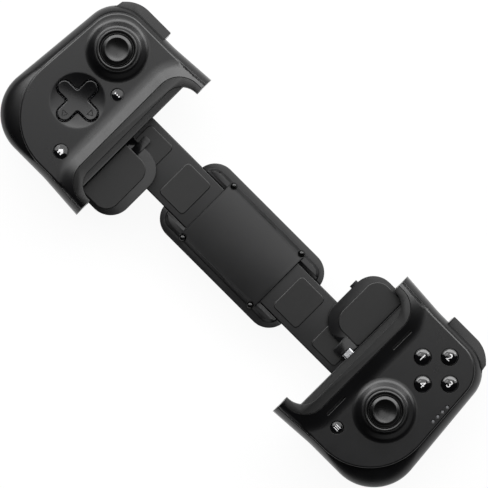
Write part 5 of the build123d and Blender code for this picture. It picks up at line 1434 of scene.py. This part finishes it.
# %% Soft lamps
def soft_lamp(name, azimuth, slant, distance, size, radiance, face_down=False):
    """A softbox at angles in degrees (round Z, and down from straight above), with its face's brightness."""
    light = bpy.data.lights.new(name, "AREA")
    light.shape = "RECTANGLE"
    light.size, light.size_y = size
    light.energy = radiance * math.pi * size[0] * size[1]
    lamp = bpy.data.objects.new(name, light)
    round_z, down = math.radians(azimuth), math.radians(slant)
    spot = Vector((math.sin(down) * math.cos(round_z), math.sin(down) * math.sin(round_z), math.cos(down)))
    lamp.location = spot * distance
    lamp.rotation_euler = (0 if face_down else down, 0, round_z + math.pi / 2)
    bpy.context.scene.collection.objects.link(lamp)
    print(name, "stands at", [round(v, 2) for v in lamp.location])


soft_lamp("lamp_overhead", 112, 19.5, 1.35, (1.15, 0.91), 1.8, face_down=True)
soft_lamp("lamp_back_bank", 122, 50, 2.3, (4.0, 1.15), 6.0)
soft_lamp("lamp_left_bank", 182, 36, 2.3, (1.1, 1.1), 2.4)
soft_lamp("lamp_left_wing", 181, 54, 2.3, (0.8, 0.8), 4.5)
soft_lamp("lamp_right_wing", 66, 52, 2.3, (0.8, 0.9), 2.8)

# %% [markdown]
# The room is a dark studio with a pale low wall towards the right end. It answers each sort of ray by itself:
# the camera sees plain white, mirror images see the wall, and matt surfaces get a little even light.

# %% Room
WALL_LEVEL, DARK_LEVEL, EVEN_LEVEL = 0.8, 0.012, 0.15
world = bpy.data.worlds.new("studio_room")
bpy.context.scene.world = world
world.use_nodes = True
tree = world.node_tree
tree.nodes.clear()
path = add(tree, "ShaderNodeLightPath").outputs
way = add(tree, "ShaderNodeSeparateXYZ", {0: add(tree, "ShaderNodeTexCoord").outputs["Generated"]}).outputs
low_down = ranged(tree, way["Z"], 0.1, 0.4, 1.0, 0.0)
to_the_right = ranged(tree, way["X"], 0.1, 0.8, 0.0, 1.0)
wall = maths(tree, "MULTIPLY", low_down, to_the_right)
mirrored = maths(tree, "MULTIPLY_ADD", wall, WALL_LEVEL, DARK_LEVEL)
mirrored = maths(tree, "MULTIPLY", mirrored, path["Is Glossy Ray"])
level = maths(tree, "MULTIPLY_ADD", path["Is Diffuse Ray"], EVEN_LEVEL, mirrored)
level = maths(tree, "ADD", path["Is Camera Ray"], level)
room = add(tree, "ShaderNodeBackground", {"Color": (1, 1, 1, 1), "Strength": level})
backdrop = add(tree, "ShaderNodeOutputWorld")
tree.links.new(room.outputs["Background"], backdrop.inputs["Surface"])
bpy.context.scene.view_settings.view_transform = "Standard"
print("lamps", len(bpy.data.lights))

# %% [markdown]
# ## Pieces that stay as the CAD made them
# Pins, boards, sockets and the inside of the sticks are right as they are, and only need their material. A
# node's name is its side and its kind, so one table does for both grips.

# %% Materials of the CAD nodes that stay
KEPT = [
    (acetal_inside, "strap_guide stick_housing stick_gimbal stick_pivot stick_shaft cross_pad_pivot"),
    (steel_pin, "bumper_pin trigger_pin trigger_spring"),
    (socket_plastic, "headphone_socket plug_carrier"),
    (board_mask, "circuit_board"),
    (silicone_mat, "button_membrane"),
    (black_screw, "case_screws"),
    (nickel_plug, "phone_plug"),
    (stamped_steel, "charge_socket"),
    (milky_pipe, "light_pipes"),
    (gauze_cloth, "vent_gauze"),
]
material_of = {kind: material for material, kinds in KEPT for kind in kinds.split()}
painted = {node: material_of.get(name.split("_", 1)[1]) for name, node in nodes.items()}
for node, material in painted.items():
    if material:
        node.data.materials.clear()
        node.data.materials.append(material)
print("kept nodes painted", sum(material is not None for material in painted.values()))
